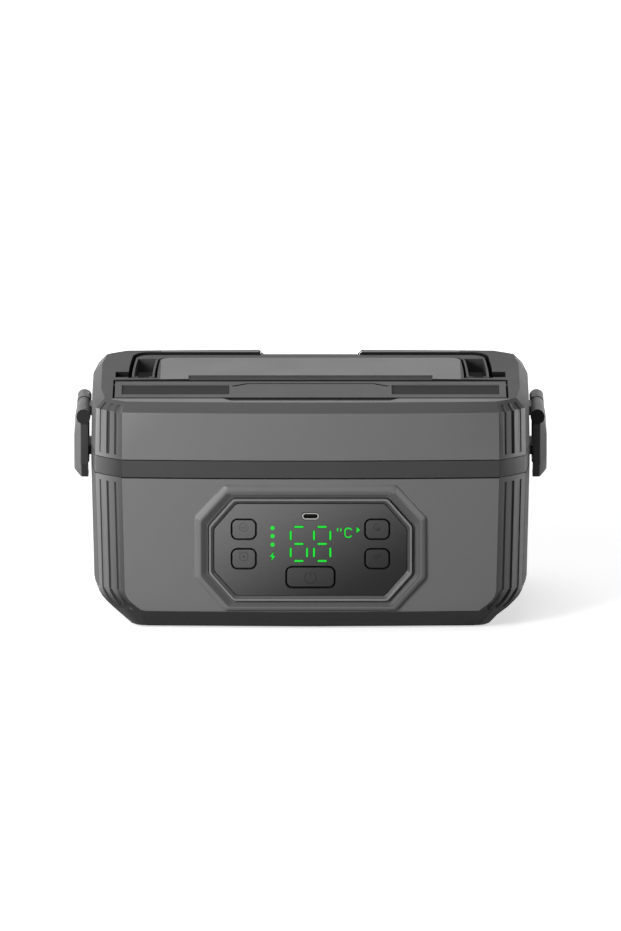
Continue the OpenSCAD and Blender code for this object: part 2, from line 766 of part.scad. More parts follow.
// Charging and power board with its choke, capacitor and switches
module charge_board() color([0.1, 0.35, 0.2]) {
    middle = charge_x + charge_w / 2;
    difference() {
        union() {
            span([charge_x, well_y - charge_d / 2, charge_z], [charge_x + charge_w, well_y + charge_d / 2,
                charge_z + board_t]);
            translate([middle, well_y - 8, charge_z + board_t / 2]) cylinder(h = 8, r = 5.5, $fn = 32);
            translate([middle, well_y + 8, charge_z + board_t / 2]) cylinder(h = 11, r = 4, $fn = 32);
            for (y = [16, -17]) span([middle - 4, well_y + y - 3, charge_z + board_t / 2],
                [middle + 4, well_y + y + 3, charge_z + board_t + 2.4]);
        }
        for (p = board_posts) translate([p[0], p[1], charge_z - cut])
            cylinder(h = board_t + 2 * cut, r = 1.4, $fn = 16);
    }
}

module insulation_board() color([0.85, 0.83, 0.75])
    translate([0, well_y]) difference() {
        level(insulation_z, insulation_z + insulation_t)
            round_rect(plate_w - 10, plate_d - 10, well_r - 4);
        translate([0, 0, insulation_z - cut])
            cylinder(h = insulation_t + 2 * cut, r = probe_r + 3, $fn = 32);
    }

// ---- Control panel --------------------------------------------------------

post_x = bezel_hw - 4.6;
post_z = 11.5;
post_r = 2.6;
posts = [for (x = [-1, 1], z = [-1, 1]) [x * post_x, z * post_z]];

module panel_bezel() color([0.42, 0.42, 0.43]) {
    difference() {
        union() {
            upright(bezel_y, flange_y + flange_t) octagon(0);
            upright(flange_y, flange_y + flange_t) octagon(flange_w);
            upright(flange_y, board_y) translate([0, foot_h + panel_z]) for (p = posts) translate(p)
                circle(post_r, $fn = 24);
        }
        translate([0, panel_y, foot_h + panel_z]) rotate([90, 0, 0]) loft([
            [0, octagon_points(-bezel_rim, -bezel_rim)],
            [panel_deep, octagon_points(-bezel_line, -bezel_line)],
            [panel_deep + cut, octagon_points(-bezel_line, -bezel_line)]]);
        upright(bezel_y - cut, panel_back) octagon(-bezel_rim);
        upright(bezel_y, board_y) difference() {
            octagon(-bezel_rim - lip_w);
            translate([0, foot_h + panel_z]) for (p = posts) translate(p) circle(post_r, $fn = 24);
        }
        upright(flange_y, board_y + cut) translate([0, foot_h + panel_z]) for (p = posts) translate(p)
            circle(1, $fn = 16);
    }
}

module control_panel() color([0.14, 0.14, 0.15]) {
    upright(panel_y, panel_back) difference() {
        octagon(-bezel_rim - fit / 2);
        for (k = keys) key_shape(k[0], k[1], k[2], k[3], key_gap);
        translate([0, foot_h + usb_z]) round_rect(usb_w + fit, usb_h + fit, (usb_h + fit) / 2 - 0.01);
        display_marks(0.05);
    }
}

// One segment: a bar with pointed ends, lying along X
module segment(length, e) {
    h = stroke / 2 + e;
    polygon([[-length / 2 - e, 0], [h - length / 2 - e, -h], [length / 2 - h + e, -h], [length / 2 + e, 0],
        [length / 2 - h + e, h], [h - length / 2 - e, h]]);
}

// Seven-segment digit; on lists the lit ones: top, upper left, upper right, middle,
// lower left, lower right, bottom
module digit(on, e) {
    places = [[0, 1, 0], [-1, 0.5, 1], [1, 0.5, 1], [0, 0, 0], [-1, -0.5, 1], [1, -0.5, 1], [0, -1, 0]];
    for (i = [0:6]) if (on[i]) translate([places[i][0] * digit_w / 2, places[i][1] * digit_h / 2])
        rotate(90 * places[i][2]) segment(segment_l[places[i][2]], e);
}

// All lit marks of the display: two digits, three level dots, bolt, degree mark and arrow
status_x = -20.9;
stroke_thin = 0.7;                       // stroke of the degree mark and the letter
module display_marks(e) {
    six = [true, true, false, true, true, true, true];
    eight = [true, true, true, true, true, true, true];
    translate([0, foot_h]) {
        translate([-digit_pitch / 2, digit_z]) digit(six, e);
        translate([digit_pitch / 2, digit_z]) digit(eight, e);
        for (z = [-0.4, 4.4, 9]) translate([status_x, digit_z + z]) circle(1.15 + e, $fn = 24);
        translate([status_x, digit_z - 7])
            polygon([[0.75, 2.7], [-1.6, -0.3], [-0.15, -0.3], [-0.75, -2.7],
            [1.6, 0.3], [0.15, 0.3]]);
        translate([20.8, digit_z + 6.3]) difference() {
            round_rect(4.4 + 2 * e, 5.8 + 2 * e, 2);
            round_rect(4.4 - 2 * stroke_thin, 5.8 - 2 * stroke_thin, 2 - stroke_thin);
            translate([1, -1.5]) square([3, 3]);
        }
        translate([15.8, digit_z + 8]) difference() {
            circle(1.3 + e, $fn = 24);
            circle(1.3 - stroke_thin, $fn = 24);
            square([1 - e, 3], center = true);
        }
        translate([26.2, digit_z + 7.9]) polygon([[-0.9, -1.75], [1.1, 0], [-0.9, 1.75]]);
    }
}

module display_guides() color([0.15, 0.9, 0.3]) upright(panel_y, panel_back) display_marks(0);

module display_module() color([0.9, 0.9, 0.88]) {
    low = foot_h + digit_z - digit_h / 2 - 1.2;
    high = foot_h + digit_z + digit_h / 2 + 1.6;
    span([status_x - 2.6, panel_back, low], [-status_x + 7.4, board_y, high]);
}

module usb_c_socket() color([0.75, 0.75, 0.78]) {
    translate([0, 0, foot_h + usb_z]) {
        difference() {
            upright(panel_y - 0.2, board_y) round_rect(usb_w, usb_h, usb_h / 2 - 0.01);
            upright(panel_y - cut, board_y - 1.5)
                round_rect(usb_w - 2 * usb_wall, usb_h - 2 * usb_wall, usb_h / 2 - usb_wall - 0.01);
        }
        span([-3.35, panel_y + 0.8, -0.35], [3.35, board_y - 1, 0.35]);
    }
}

board_e = -2.4;
module control_board() color([0.1, 0.3, 0.18]) {
    upright(board_y, board_y + board_t) difference() {
        octagon(board_e);
        translate([0, foot_h + panel_z]) for (p = posts) translate(p) circle(1.2, $fn = 16);
    }
}

module board_screws() color([0.6, 0.6, 0.62])
    for (p = posts) translate([p[0], board_y + board_t + 1.4, foot_h + panel_z + p[1]])
        rotate([90, 0, 0]) {
        cylinder(h = 1.4, r = 2.2, $fn = 24);
        cylinder(h = 1.4 + board_t + 2.5, r = 1, $fn = 16);
    }

switch_y = board_y - switch_h;
module tact_switches() color([0.15, 0.15, 0.16])
    for (k = keys) translate([k[0], 0, foot_h + k[1]]) {
        span([-switch_w / 2, switch_y + 0.8, -switch_w / 2], [switch_w / 2, board_y, switch_w / 2]);
        upright(switch_y, switch_y + 1) circle(1.7, $fn = 24);
    }

// Button cap with the flange that keeps it behind the panel and the stem to its switch
module button(k) color([0.24, 0.24, 0.25]) {
    flange_back = panel_back + 0.1 + 0.9;
    upright(panel_y - 0.1, flange_back) key_shape(k[0], k[1], k[2], k[3], 0);
    upright(panel_back + 0.1, flange_back) key_shape(k[0], k[1], k[2], k[3], key_flange);
    upright(flange_back - 0.1, switch_y - key_travel - running) translate([k[0], foot_h + k[1]])
        circle(2, $fn = 24);
}
module schedule_button() button(schedule_key);
module timer_button() button(timer_key);
module heat_button() button(heat_key);
module warm_button() button(warm_key);
module power_button() button(power_key);

// ---- Food pot and its lid -------------------------------------------------

module food_pot() color([0.82, 0.82, 0.84]) {
    floor_r = 5; // radius between wall and floor
    levels = [for (a = [0:30:90]) [floor_r * (1 - cos(a)), floor_r * (1 - sin(a))]];
    translate([0, well_y, pot_bottom]) difference() {
        union() {
            loft(concat([for (l = levels) [l[0], pot_outline(l[0], l[1])]], [[pot_h,
                pot_outline(pot_h, 0)]]));
            level(pot_h - pot_t, pot_h)
                round_rect(pot_w + 2 * pot_flange, pot_d + 2 * pot_flange, pot_r + pot_flange);
            pot_rim();
        }
        loft(concat([for (l = levels) [l[0] + pot_t, pot_outline(l[0], l[1] + pot_t)]],
            [[pot_h + cut, pot_outline(pot_h, pot_t)]]));
    }
}

// Outline of the pot at height z, moved in by e
function pot_outline(z, e) =
    let (taper = pot_taper * (1 - z / pot_h) + e)
    rect_points(pot_w - 2 * taper, pot_d - 2 * taper, pot_r - taper);

// Rolled edge of the pot's flange
module pot_rim() {
    level(pot_h - pot_roll, pot_h) difference() {
        round_rect(pot_w + 2 * pot_flange, pot_d + 2 * pot_flange, pot_r + pot_flange);
        round_rect(pot_w + 2 * pot_flange - 2 * pot_t, pot_d + 2 * pot_flange - 2 * pot_t,
            pot_r + pot_flange - pot_t);
    }
}

// Lid of the food pot: crowned plate on the flange, plug with a seal in the pot's mouth
pot_lid_w = pot_w + 2 * pot_flange;
pot_lid_d = pot_d + 2 * pot_flange;
plug_gap = 2.2; // room for the seal between plug and pot
plug_w = pot_w - 2 * pot_t - 2 * plug_gap;
plug_d = pot_d - 2 * pot_t - 2 * plug_gap;
plug_r = pot_r - pot_t - plug_gap;
crown_z = pot_top + pot_lid_t + pot_lid_rise;
crown_in = 16; // how far the crown starts from the plug's outside
module pot_lid() color([0.75, 0.76, 0.78]) {
    translate([0, well_y]) difference() {
        union() {
            level(pot_top, pot_top + pot_lid_t) round_rect(pot_lid_w, pot_lid_d, pot_r + pot_flange);
            level(pot_top - plug_h, pot_top + cut) round_rect(plug_w, plug_d, plug_r);
            loft([[pot_top + cut, rect_points(plug_w - 10, plug_d - 10, plug_r - 2)],
                [crown_z, rect_points(plug_w - crown_in, plug_d - crown_in, plug_r - 4)]]);
        }
        level(pot_top - plug_h - cut, pot_top)
            round_rect(plug_w - 2 * plug_t, plug_d - 2 * plug_t, plug_r - plug_t);
        loft([[pot_top - cut, rect_points(plug_w - 14, plug_d - 14, plug_r - 4)],
            [crown_z - pot_lid_t, rect_points(plug_w - crown_in - 4, plug_d - crown_in - 4, plug_r - 6)]]);
        level(pot_top - plug_h + 1.2, pot_top - 1.2) difference() {
            round_rect(plug_w + 1, plug_d + 1, plug_r + 0.5);
            round_rect(plug_w - 1.6, plug_d - 1.6, plug_r - 0.8);
        }
        translate([0, 0, crown_z - 1.4]) cylinder(h = 1.4 + cut, r = valve_r + 6, $fn = 48);
        translate([0, 0, pot_top])
            cylinder(h = pot_lid_rise + pot_lid_t + cut, r = valve_r + running, $fn = 48);
    }
}

seal_lip = plug_gap - 2 * free;                  // the ring reaches this far past the plug

module pot_lid_seal() color([0.85, 0.85, 0.85])
    translate([0, well_y]) level(pot_top - plug_h + 1.4, pot_top - 1.4) difference() {
        round_rect(plug_w + 2 * seal_lip, plug_d + 2 * seal_lip, plug_r + seal_lip);
        round_rect(plug_w - 1.6, plug_d - 1.6, plug_r - 0.8);
    }

// Silicone plug that lets the steam out: a wide head with a raised top on a hollow neck
module steam_valve() color([0.9, 0.4, 0.15]) {
    seat_z = crown_z - 1.4;
    translate([0, well_y]) difference() {
        union() {
            translate([0, 0, seat_z]) cylinder(h = 1.4, r = valve_r + 4, $fn = 48);
            translate([0, 0, seat_z - 3]) cylinder(h = 3.5, r = valve_r, $fn = 48);
            translate([0, 0, seat_z + 1]) cylinder(h = 1.6, r = valve_r - 1, $fn = 48);
        }
        translate([0, 0, seat_z - 3 - cut]) cylinder(h = 4, r = valve_r - 1.6, $fn = 32);
    }
}

// ---- Lid ------------------------------------------------------------------

bar_y0 = front_y + bar_front;                    // front of the cutlery cover
bar_y1 = bar_y0 + bar_d;                         // back of the cutlery cover
bar_top = lid_top - 0.2;
barrel = [bar_y1 - barrel_r, bar_top - barrel_r]; // Y and Z of the cover's hinge axis
pocket_y0 = front_y + pocket_front;
pocket_y1 = body_d / 2 - pocket_back;
pivot_y = pocket_y0 + pivot_in;
handle_top = lid_top - handle_sunk;
pivot_z = handle_top - handle_t / 2;
ceiling = lid_top - wall;                        // underside of the lid's top wall
inner_floor = rim_top + inner_z;                 // underside of the lid's inner panel
tray_z = lid_top - tray_h;                       // floor of the cutlery tray
pocket_z = lid_top - pocket_h;                   // floor of the handle pocket

// Curve of the handle pocket's sides: share of the taper at y
function bend(y) = pow(max(0, (y - pocket_y0) / (pocket_y1 - pocket_y0)), 2);
function pocket_x(y) = pocket_hw - pocket_taper * bend(y);
side_ys = [for (t = [0, 0.3, 0.55, 0.8, 1]) t];

// Outer outline of the handle pocket, grown by e
pocket_corner = 9;
function pocket_outer(e) =
    let (y0 = pocket_y0 - e, y1 = pocket_y1 + e, r = pocket_corner + e,
        right = concat([for (t = side_ys) let (y = mix(y0, y1 - r, t)) [pocket_x(y) + e, y]],
            [for (a = [22.5:22.5:90]) [pocket_x(y1) + e - r + r * cos(a), y1 - r + r * sin(a)]]))
    concat(right, [for (i = [len(right) - 1:-1:0]) [-right[i][0], right[i][1]]]);

// Outline of the island between the handle's arms, grown by e, from y0 on
island_corner = 6;
function island(e, y0) =
    let (y1 = pocket_y1 - bar_room + e, r = island_corner + e,
        right = concat([for (t = side_ys) let (y = mix(y0, y1 - r, t)) [pocket_x(y) - arm_room + e, y]],
            [for (a = [22.5:22.5:90]) [pocket_x(y1) - arm_room + e - r + r * cos(a),
                y1 - r + r * sin(a)]]))
    concat(right, [for (i = [len(right) - 1:-1:0]) [-right[i][0], right[i][1]]]);

// U-shaped pocket with the pivot notches; e grows its walls outwards on both sides
notch_y = pivot_y + 0.5;
module pocket_shape(e) {
    difference() {
        union() {
            polygon(pocket_outer(e));
            both_sides() translate([pocket_hw - 2, notch_y - notch_l / 2 - e])
                square([notch_w + 2 + e, notch_l + 2 * e]);
        }
        polygon(island(-e, pocket_y0 - e - cut));
    }
}

module lid_shell() color([0.34, 0.34, 0.35]) {
    difference() {
        union() {
            difference() {
                translate([0, 0, rim_top]) loft([for (z = lid_levels) [z, lid_plan(z)]]);
                translate([0, 0, rim_top]) loft([[-cut, inset(lid_plan(0), wall)],
                    [lid_shoulder - inside_set, inset(lid_plan(lid_shoulder), wall)],
                    [lid_h - wall, inset(lid_plan(lid_h), wall)]]);
            }
            notch_bed(front_notch_hw + wall, bar_y0 - bar_gap - front_notch_d - wall, bar_y0 - bar_gap);
            notch_bed(finger_hw + 3 + wall, pocket_y1, front_y + body_d - lid_chamfer_w - wall);
            for (p = lid_screw_places) translate([p[0], p[1], inner_floor + inner_t])
                cylinder(h = boss_top - inner_floor - inner_t, r = boss_r, $fn = 32);
            both_sides() latch_lug();
        }
        level(tray_z, lid_top + cut) bar_opening(0);
        level(tray_z, ceiling) bar_opening(tray_t + fit / 2);
        level(pocket_z, lid_top + cut) pocket_shape(0);
        level(pocket_z, ceiling) pocket_shape(tray_t + fit / 2);
        front_notch();
        back_notch();
        island_step();
        for (p = lid_screw_places) translate([p[0], p[1], inner_floor])
            cylinder(h = 12, r = screw_r, $fn = 16);
        both_sides() latch_axis() translate([0, 0, -lug_w]) cylinder(h = 2 * lug_w, r = pin_r, $fn = 32);
        both_sides() cover_axis() translate([0, 0, bar_w / 2])
            cylinder(h = bar_gap + tray_t, r = bar_pin_r, $fn = 32);
        translate([0, 0, rim_top])
            corner_grooves([[2.2, lid_plan(2.2)], [lid_shoulder, lid_plan(lid_shoulder)],
            [lid_h - 1.6, lid_plan(lid_h - 1.6)]]);
    }
}

module bar_opening(e) {
    translate([-bar_w / 2 - bar_gap - e, bar_y0 - bar_gap - e])
        square([bar_w + 2 * bar_gap + 2 * e, bar_d + 2 * bar_gap + 2 * e]);
}

// Solid bed under a finger notch
module notch_bed(hw, y0, y1) {
    span([-hw, y0, ceiling - finger_h], [hw, y1, ceiling + cut]);
}

module front_notch() {
    y = bar_y0 - bar_gap + cut;
    level(lid_top - finger_h, lid_top + cut)
        polygon([[-front_notch_hw, y], [-front_notch_hw + 6, y - cut - front_notch_d],
            [front_notch_hw - 6, y - cut - front_notch_d],
            [front_notch_hw, y]]);
}

module back_notch() {
    upright(pocket_y1 - cut, body_d / 2 + cut)
        polygon([[-finger_hw, lid_top - finger_h], [finger_hw, lid_top - finger_h],
            [finger_hw + 3, lid_top + cut], [-finger_hw - 3, lid_top + cut]]);
}

// Shallow step along the island's front edge
step_hw = 67.3;
module island_step() {
    span([-step_hw, bar_y1 + bar_gap - cut, lid_top - 0.6], [step_hw, pocket_y0 + 6, lid_top + cut]);
}

// Frame of the right latch's hinge axis: local Z runs along Y
module latch_axis() {
    translate([side_x + hinge_out, 0, axis_z]) rotate([90, 0, 0]) children();
}

// Lug on the lid's side that carries a latch
module latch_lug() {
    r = hinge_r - 0.3;
    latch_axis() translate([0, 0, -lug_w / 2]) cylinder(h = lug_w, r = r, $fn = 48);
    span([side_x - lid_draft - cut, -lug_w / 2, axis_z - r],
        [side_x + hinge_out, lug_w / 2, axis_z + r - 2]);
}

skirt_w = rim_open[0] + 2 * rim_step_w - 2 * free;
skirt_d = rim_open[1] + 2 * rim_step_w - 2 * free;
skirt_r = rim_open_r + rim_step_w - free;
skirt_t = 2;
skirt_z = rim_top - rim_step + 1.6;

boss_r = 2.8;
boss_top = rim_top + lid_shoulder + 1.5;
corner_out = (skirt_r + boss_r + 0.5) * cos(45);
lid_screw_places = [for (x = [-1, 1]) each [
    [x * (side_x - wall - 5.5), -24],
    [x * (side_x - wall - 5.5), 30],
    [x * (bar_w / 2 - 3.8), bar_y0 - bar_gap - tray_t - boss_r - 0.6],
    [x * (skirt_w / 2 - skirt_r + corner_out), well_y + skirt_d / 2 - skirt_r + corner_out]]];

// Panel that closes the lid from below, with the skirt that drops into the rim ring
module lid_inner_panel() color([0.3, 0.3, 0.31]) {
    difference() {
        union() {
            level(inner_floor, inner_floor + inner_t) polygon(inset(full_plan, wall + lid_draft + fit));
            translate([0, well_y]) level(skirt_z, inner_floor + 0.5) difference() {
                round_rect(skirt_w, skirt_d, skirt_r);
                round_rect(skirt_w - 2 * skirt_t, skirt_d - 2 * skirt_t, skirt_r - skirt_t);
            }
        }
        for (p = lid_screw_places) translate([p[0], p[1], inner_floor - cut])
            cylinder(h = inner_t + 2 * cut, r = screw_r + running, $fn = 16);
    }
}

// Silicone ring on the skirt's edge
module lid_seal() color([0.15, 0.15, 0.15])
    translate([0, well_y]) level(rim_top - rim_step + free, skirt_z) difference() {
        round_rect(skirt_w, skirt_d, skirt_r);
        round_rect(skirt_w - 2 * skirt_t, skirt_d - 2 * skirt_t, skirt_r - skirt_t);
    }

module lid_screws() color([0.6, 0.6, 0.62])
    for (p = lid_screw_places) translate([p[0], p[1], inner_floor]) screw(10);

// Tray for the cutlery, with the bosses for the cover's hinge pins and a rest for its front
module cutlery_tray() color([0.26, 0.26, 0.27]) {
    difference() {
        union() {
            level(tray_z - tray_t, ceiling) bar_opening(tray_t);
        }
        difference() {
            level(tray_z, ceiling + cut) bar_opening(0);
            for (x = [-1, 1]) translate([x * (bar_w / 2 - 10), bar_y0 + 1, tray_z])
                cube([8, 4, 2 * (bar_top - bar_t - running - tray_z)], center = true);
        }
        both_sides() cover_axis() cylinder(h = bar_w, r = bar_pin_r, $fn = 32);
    }
}

// Right end of the cutlery cover's hinge axis: local Z runs along X
module cover_axis() {
    translate([0, barrel[0], barrel[1]]) rotate([0, 90, 0]) children();
}

module cover_pins() color([0.7, 0.7, 0.72])
    both_sides() cover_axis() translate([0, 0, bar_w / 2 - 8])
        cylinder(h = 8 + bar_gap + tray_t, r = bar_pin_r, $fn = 32);

// U-shaped well under the handle, with the bosses for its pivot pins
boss_w = 4.2;
module handle_well() color([0.26, 0.26, 0.27]) {
    difference() {
        union() {
            level(pocket_z - tray_t, ceiling) pocket_shape(tray_t);
            both_sides() span([pocket_hw + notch_w, pivot_y - pivot_r - 2, pivot_z - pivot_r - 2],
                [pocket_hw + notch_w + boss_w, pivot_y + pivot_r + 2, ceiling]);
        }
        level(pocket_z, ceiling + cut) difference() {
            pocket_shape(0);
            both_sides() translate([pocket_hw, notch_y - notch_l / 2]) square([notch_w, notch_l]);
        }
        level(pivot_z - pivot_r, ceiling + cut) both_sides()
            translate([pocket_hw - cut, notch_y - notch_l / 2]) square([notch_w + cut, notch_l]);
        both_sides() pivot_axis() translate([0, 0, pocket_hw - cut])
            cylinder(h = notch_w + boss_w + cut, r = pivot_r, $fn = 48);
    }
}

// Right end of the handle's pivot axis: local Z runs along X
module pivot_axis() {
    translate([0, pivot_y, pivot_z]) rotate([0, 90, 0]) children();
}

arm_outer = pocket_hw - 1.9; // outer face of an arm at its front
module handle_pins() color([0.7, 0.7, 0.72])
    both_sides() pivot_axis() translate([0, 0, arm_outer - arm_w - 0.4])
        cylinder(h = pocket_hw + notch_w + boss_w - arm_outer + arm_w + 0.4, r = pivot_r, $fn = 48);

pin_wall = 3; // closed front end of a latch's pin hole
module latch_pins() color([0.7, 0.7, 0.72])
    both_sides() latch_axis() translate([0, 0, -latch_w / 2 + 1])
        cylinder(h = latch_w - pin_wall - free - 1, r = pin_r, $fn = 32);

// ---- Pieces that swing on the lid -----------------------------------------

// Plan of the handle: outer outline and the space between its arms, moved in by e
arm_front = pivot_y - handle_t / 2 - 1.5;
grip_back = pocket_y1 - 4;
grip_front = grip_back - grip_d;
handle_low = handle_top - handle_t;
side_gap = pocket_hw - arm_outer;
function arm_outline(set, y0, y1, r) =
    let (right = concat([for (t = side_ys) let (y = mix(y0, y1 - r, t)) [pocket_x(y) - set, y]],
        [for (a = [22.5:22.5:90]) [pocket_x(y1) - set - r + r * cos(a), y1 - r + r * sin(a)]]))
    concat(right, [for (i = [len(right) - 1:-1:0]) [-right[i][0], right[i][1]]]);

module handle_plan(e) {
    difference() {
        polygon(arm_outline(side_gap + e, arm_front - (e > 0 ? cut : 0), grip_back - e,
            pocket_corner - 2 - e));
        polygon(arm_outline(side_gap + arm_w - e, arm_front - 2 * cut, grip_front + e, 5 + e));
    }
}

module carry_handle() color([0.28, 0.28, 0.29]) {
    round_end = handle_t / 2;
    hub_r = pivot_r + 1.6;
    difference() {
        intersection() {
            union() {
                difference() {
                    level(handle_low, handle_top) handle_plan(0);
                    level(handle_low + rib_t, handle_top + cut) difference() {
                        handle_plan(rib_t);
                        translate([-body_w / 2, grip_front - 3]) square([body_w, body_d]);
                    }
                }
                both_sides() pivot_axis() translate([0, 0, arm_outer - 3.2])
                    cylinder(h = 3, r = hub_r, $fn = 32);
                both_sides() pivot_axis() translate([0, 0, arm_outer - arm_w + 0.2])
                    cylinder(h = 3, r = hub_r, $fn = 32);
            }
            translate([-body_w / 2, 0, 0]) rotate([90, 0, 90]) linear_extrude(body_w) {
                translate([arm_front + round_end, handle_low]) square([body_d, handle_t]);
                translate([arm_front + round_end, pivot_z]) circle(round_end, $fn = 48);
            }
        }
        both_sides() pivot_axis() translate([0, 0, arm_outer - arm_w - cut])
            cylinder(h = arm_w + 2 * cut, r = pivot_r + running, $fn = 48);
        span([-pocket_hw + arm_room + 6, grip_front + rib_t, handle_low - cut],
            [pocket_hw - arm_room - 6, grip_back - rib_t, handle_top - 2]);
    }
}

pad_x = [44.8, 104];                     // ends of a pad on the cutlery cover
pad_y = [bar_y0 + 9.4, bar_y0 + 33.4];
pad_sunk = 0.6;
module cutlery_cover() color([0.36, 0.36, 0.37]) {
    low = bar_top - bar_t;
    difference() {
        union() {
            span([-bar_w / 2, bar_y0, low], [bar_w / 2, barrel[0], bar_top]);
            translate([-bar_w / 2, barrel[0], barrel[1]]) rotate([0, 90, 0])
                cylinder(h = bar_w, r = barrel_r, $fn = 48);
        }
        both_sides() cover_axis() translate([0, 0, bar_w / 2 - 8 - cut])
            cylinder(h = 8 + 2 * cut, r = bar_pin_r + running, $fn = 32);
        both_sides() span([pad_x[0], pad_y[0], bar_top - pad_t - pad_sunk], [pad_x[1], pad_y[1],
            bar_top + cut]);
        field_groove();
    }
}

// Groove behind the bare middle field
module field_groove() {
    y = [bar_y0 + 30.4, bar_y0 + 37.4];
    path = [[-43, y[0]], [-34.5, y[1]], [34.5, y[1]], [43, y[0]]];
    for (i = [0:2]) rod([path[i][0], path[i][1], bar_top + 0.1], [path[i + 1][0], path[i + 1][1],
        bar_top + 0.1], 1, 8);
}

module cover_pads() color([0.2, 0.2, 0.21])
    both_sides() span([pad_x[0], pad_y[0], bar_top - pad_t - pad_sunk], [pad_x[1], pad_y[1],
        bar_top - pad_sunk]);

// Right latch: bevelled slab, hinge barrel split round the lid's lug, hook inside
latch_x = [side_x + latch_gap, side_x + latch_out];
axis_z = lid_top - hinge_drop;           // height of the latches' hinge axis
end_low = [5, 8.1];                      // depth and height of the slant at a latch's lower ends
end_top = [2.5, 8];                      // and at its upper ends
latch_neck = 10.6;                       // the slab is full this far below the hinge axis

// Side view of a latch in Y and Z, its ends slanted, up to the height top
function latch_side(top) = let (w = latch_w / 2, z = axis_z + hinge_r - end_top[1],
        in = end_top[0] * (top - z) / end_top[1])
    [[end_low[0] - w, latch_z], [w - end_low[0], latch_z], [w, latch_z + end_low[1]], [w, z],
        [w - in, top], [in - w, top], [-w, z], [-w, latch_z + end_low[1]]];

// Its flat outer face
function latch_face(top) = let (w = latch_w / 2 - latch_bevel, z = latch_z + latch_bevel)
    [[end_low[0] - w, z], [w - end_low[0], z], [w, z + end_low[1]], [w, top], [-w, top],
        [-w, z + end_low[1]]];

// Flat shape in Y and Z, from x0 to x1
module across(x0, x1) {
    translate([x0, 0, 0]) rotate([90, 0, 90]) linear_extrude(x1 - x0) children();
}

module latch() {
    neck_x = side_x + hinge_out + hinge_r;
    skin_x = latch_x[1] - latch_t;
    notch_z = axis_z - hinge_r - 1.5;
    difference() {
        union() {
            hull() {
                across(latch_x[0], latch_x[1] - latch_bevel) polygon(latch_side(axis_z));
                across(neck_x - 0.1, neck_x) polygon(inset(latch_side(axis_z), 0.7 * latch_bevel));
                across(latch_x[1] - 0.1, latch_x[1]) polygon(latch_face(axis_z - latch_neck));
            }
            intersection() {
                latch_axis() translate([0, 0, -latch_w / 2]) cylinder(h = latch_w, r = hinge_r, $fn = 48);
                across(side_x, latch_x[1]) polygon(latch_side(axis_z + hinge_r + 0.01));
            }
        }
        difference() {
            across(latch_x[0] - cut, skin_x) intersection() {
                polygon(inset(latch_side(axis_z), latch_t));
                translate([-latch_w / 2, latch_z]) square([latch_w, notch_z - latch_t - latch_z]);
            }
            hook(skin_x);
        }
        span([latch_x[0] - cut, -catch_w / 2 - free, latch_z - cut],
            [side_x + catch_out + free, catch_w / 2 + free, latch_z + end_low[1]]);
        span([side_x, -lug_w / 2 - free, notch_z], [latch_x[1] + cut, lug_w / 2 + free, lid_top]);
        latch_axis() translate([0, 0, -latch_w])
            cylinder(h = 1.5 * latch_w - pin_wall, r = pin_r + running, $fn = 32);
    }
}

// Hook that snaps below the rim ring's catch
module hook(skin_x) {
    hook_w = catch_w - 4;
    top = base_top - free;
    upright(-hook_w / 2, hook_w / 2) polygon([[side_x + catch_out + free, top - 1.5],
        [side_x + catch_out + free + 1, top - 4.5], [skin_x + cut, top - 4.5], [skin_x + cut, top],
        [side_x + catch_out + free, top]]);
}

module right_latch() color([0.3, 0.3, 0.31]) latch();
module left_latch() color([0.3, 0.3, 0.31]) mirror([1, 0, 0]) latch();

base_shell();
rim_ring();
rim_screws();
bottom_cover();
bottom_screws();
rubber_feet();
panel_bezel();
control_panel();
display_guides();
display_module();
usb_c_socket();
control_board();
tact_switches();
board_screws();
schedule_button();
timer_button();
heat_button();
warm_button();
power_button();
battery_holder();
battery_cells();
cell_links();
battery_clamp();
charge_board();
insulation_board();
heating_film();
heating_plate();
temperature_probe();
inner_well();
food_pot();
pot_lid();
pot_lid_seal();
steam_valve();
lid_shell();
lid_inner_panel();
lid_seal();
lid_screws();
cutlery_tray();
handle_well();
latch_pins();
handle_pins();
cover_pins();
carry_handle();
cutlery_cover();
cover_pads();
left_latch();
right_latch();
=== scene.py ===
import json
from math import atan2, cos, pi, radians, sin

import bmesh
import bpy
from mathutils import Matrix, Vector
from mathutils.geometry import area_tri, delaunay_2d_cdt


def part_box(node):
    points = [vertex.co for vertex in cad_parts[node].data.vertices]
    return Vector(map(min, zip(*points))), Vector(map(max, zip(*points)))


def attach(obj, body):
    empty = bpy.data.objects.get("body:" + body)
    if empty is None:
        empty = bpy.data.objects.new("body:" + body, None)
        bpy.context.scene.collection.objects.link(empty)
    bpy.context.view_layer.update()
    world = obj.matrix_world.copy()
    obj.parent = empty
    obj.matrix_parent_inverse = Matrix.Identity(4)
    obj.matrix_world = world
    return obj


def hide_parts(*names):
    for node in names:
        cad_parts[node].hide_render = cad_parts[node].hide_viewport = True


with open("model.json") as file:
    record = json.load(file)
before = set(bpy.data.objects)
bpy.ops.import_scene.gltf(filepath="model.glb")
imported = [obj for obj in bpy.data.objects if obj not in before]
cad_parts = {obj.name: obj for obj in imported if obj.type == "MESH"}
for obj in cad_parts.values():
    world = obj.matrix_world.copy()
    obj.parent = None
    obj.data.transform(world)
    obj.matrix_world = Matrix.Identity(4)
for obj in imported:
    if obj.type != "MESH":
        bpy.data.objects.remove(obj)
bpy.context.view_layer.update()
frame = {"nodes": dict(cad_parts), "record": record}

MM = 0.001

# ---- Base shell -------------------------------------------------------------
# The deep lower shell of the lunch box: one injection moulding in dark grey ABS with
# a fine spark-eroded grain. Its edges are rounded by the mould, and three shallow
# grooves run down each corner band.

body_of = {n: b for b, group in frame["record"]["behaviour"]["bodies"].items() for n in group}


def grey(tone):
    """A neutral colour."""
    return (tone, tone, tone, 1)


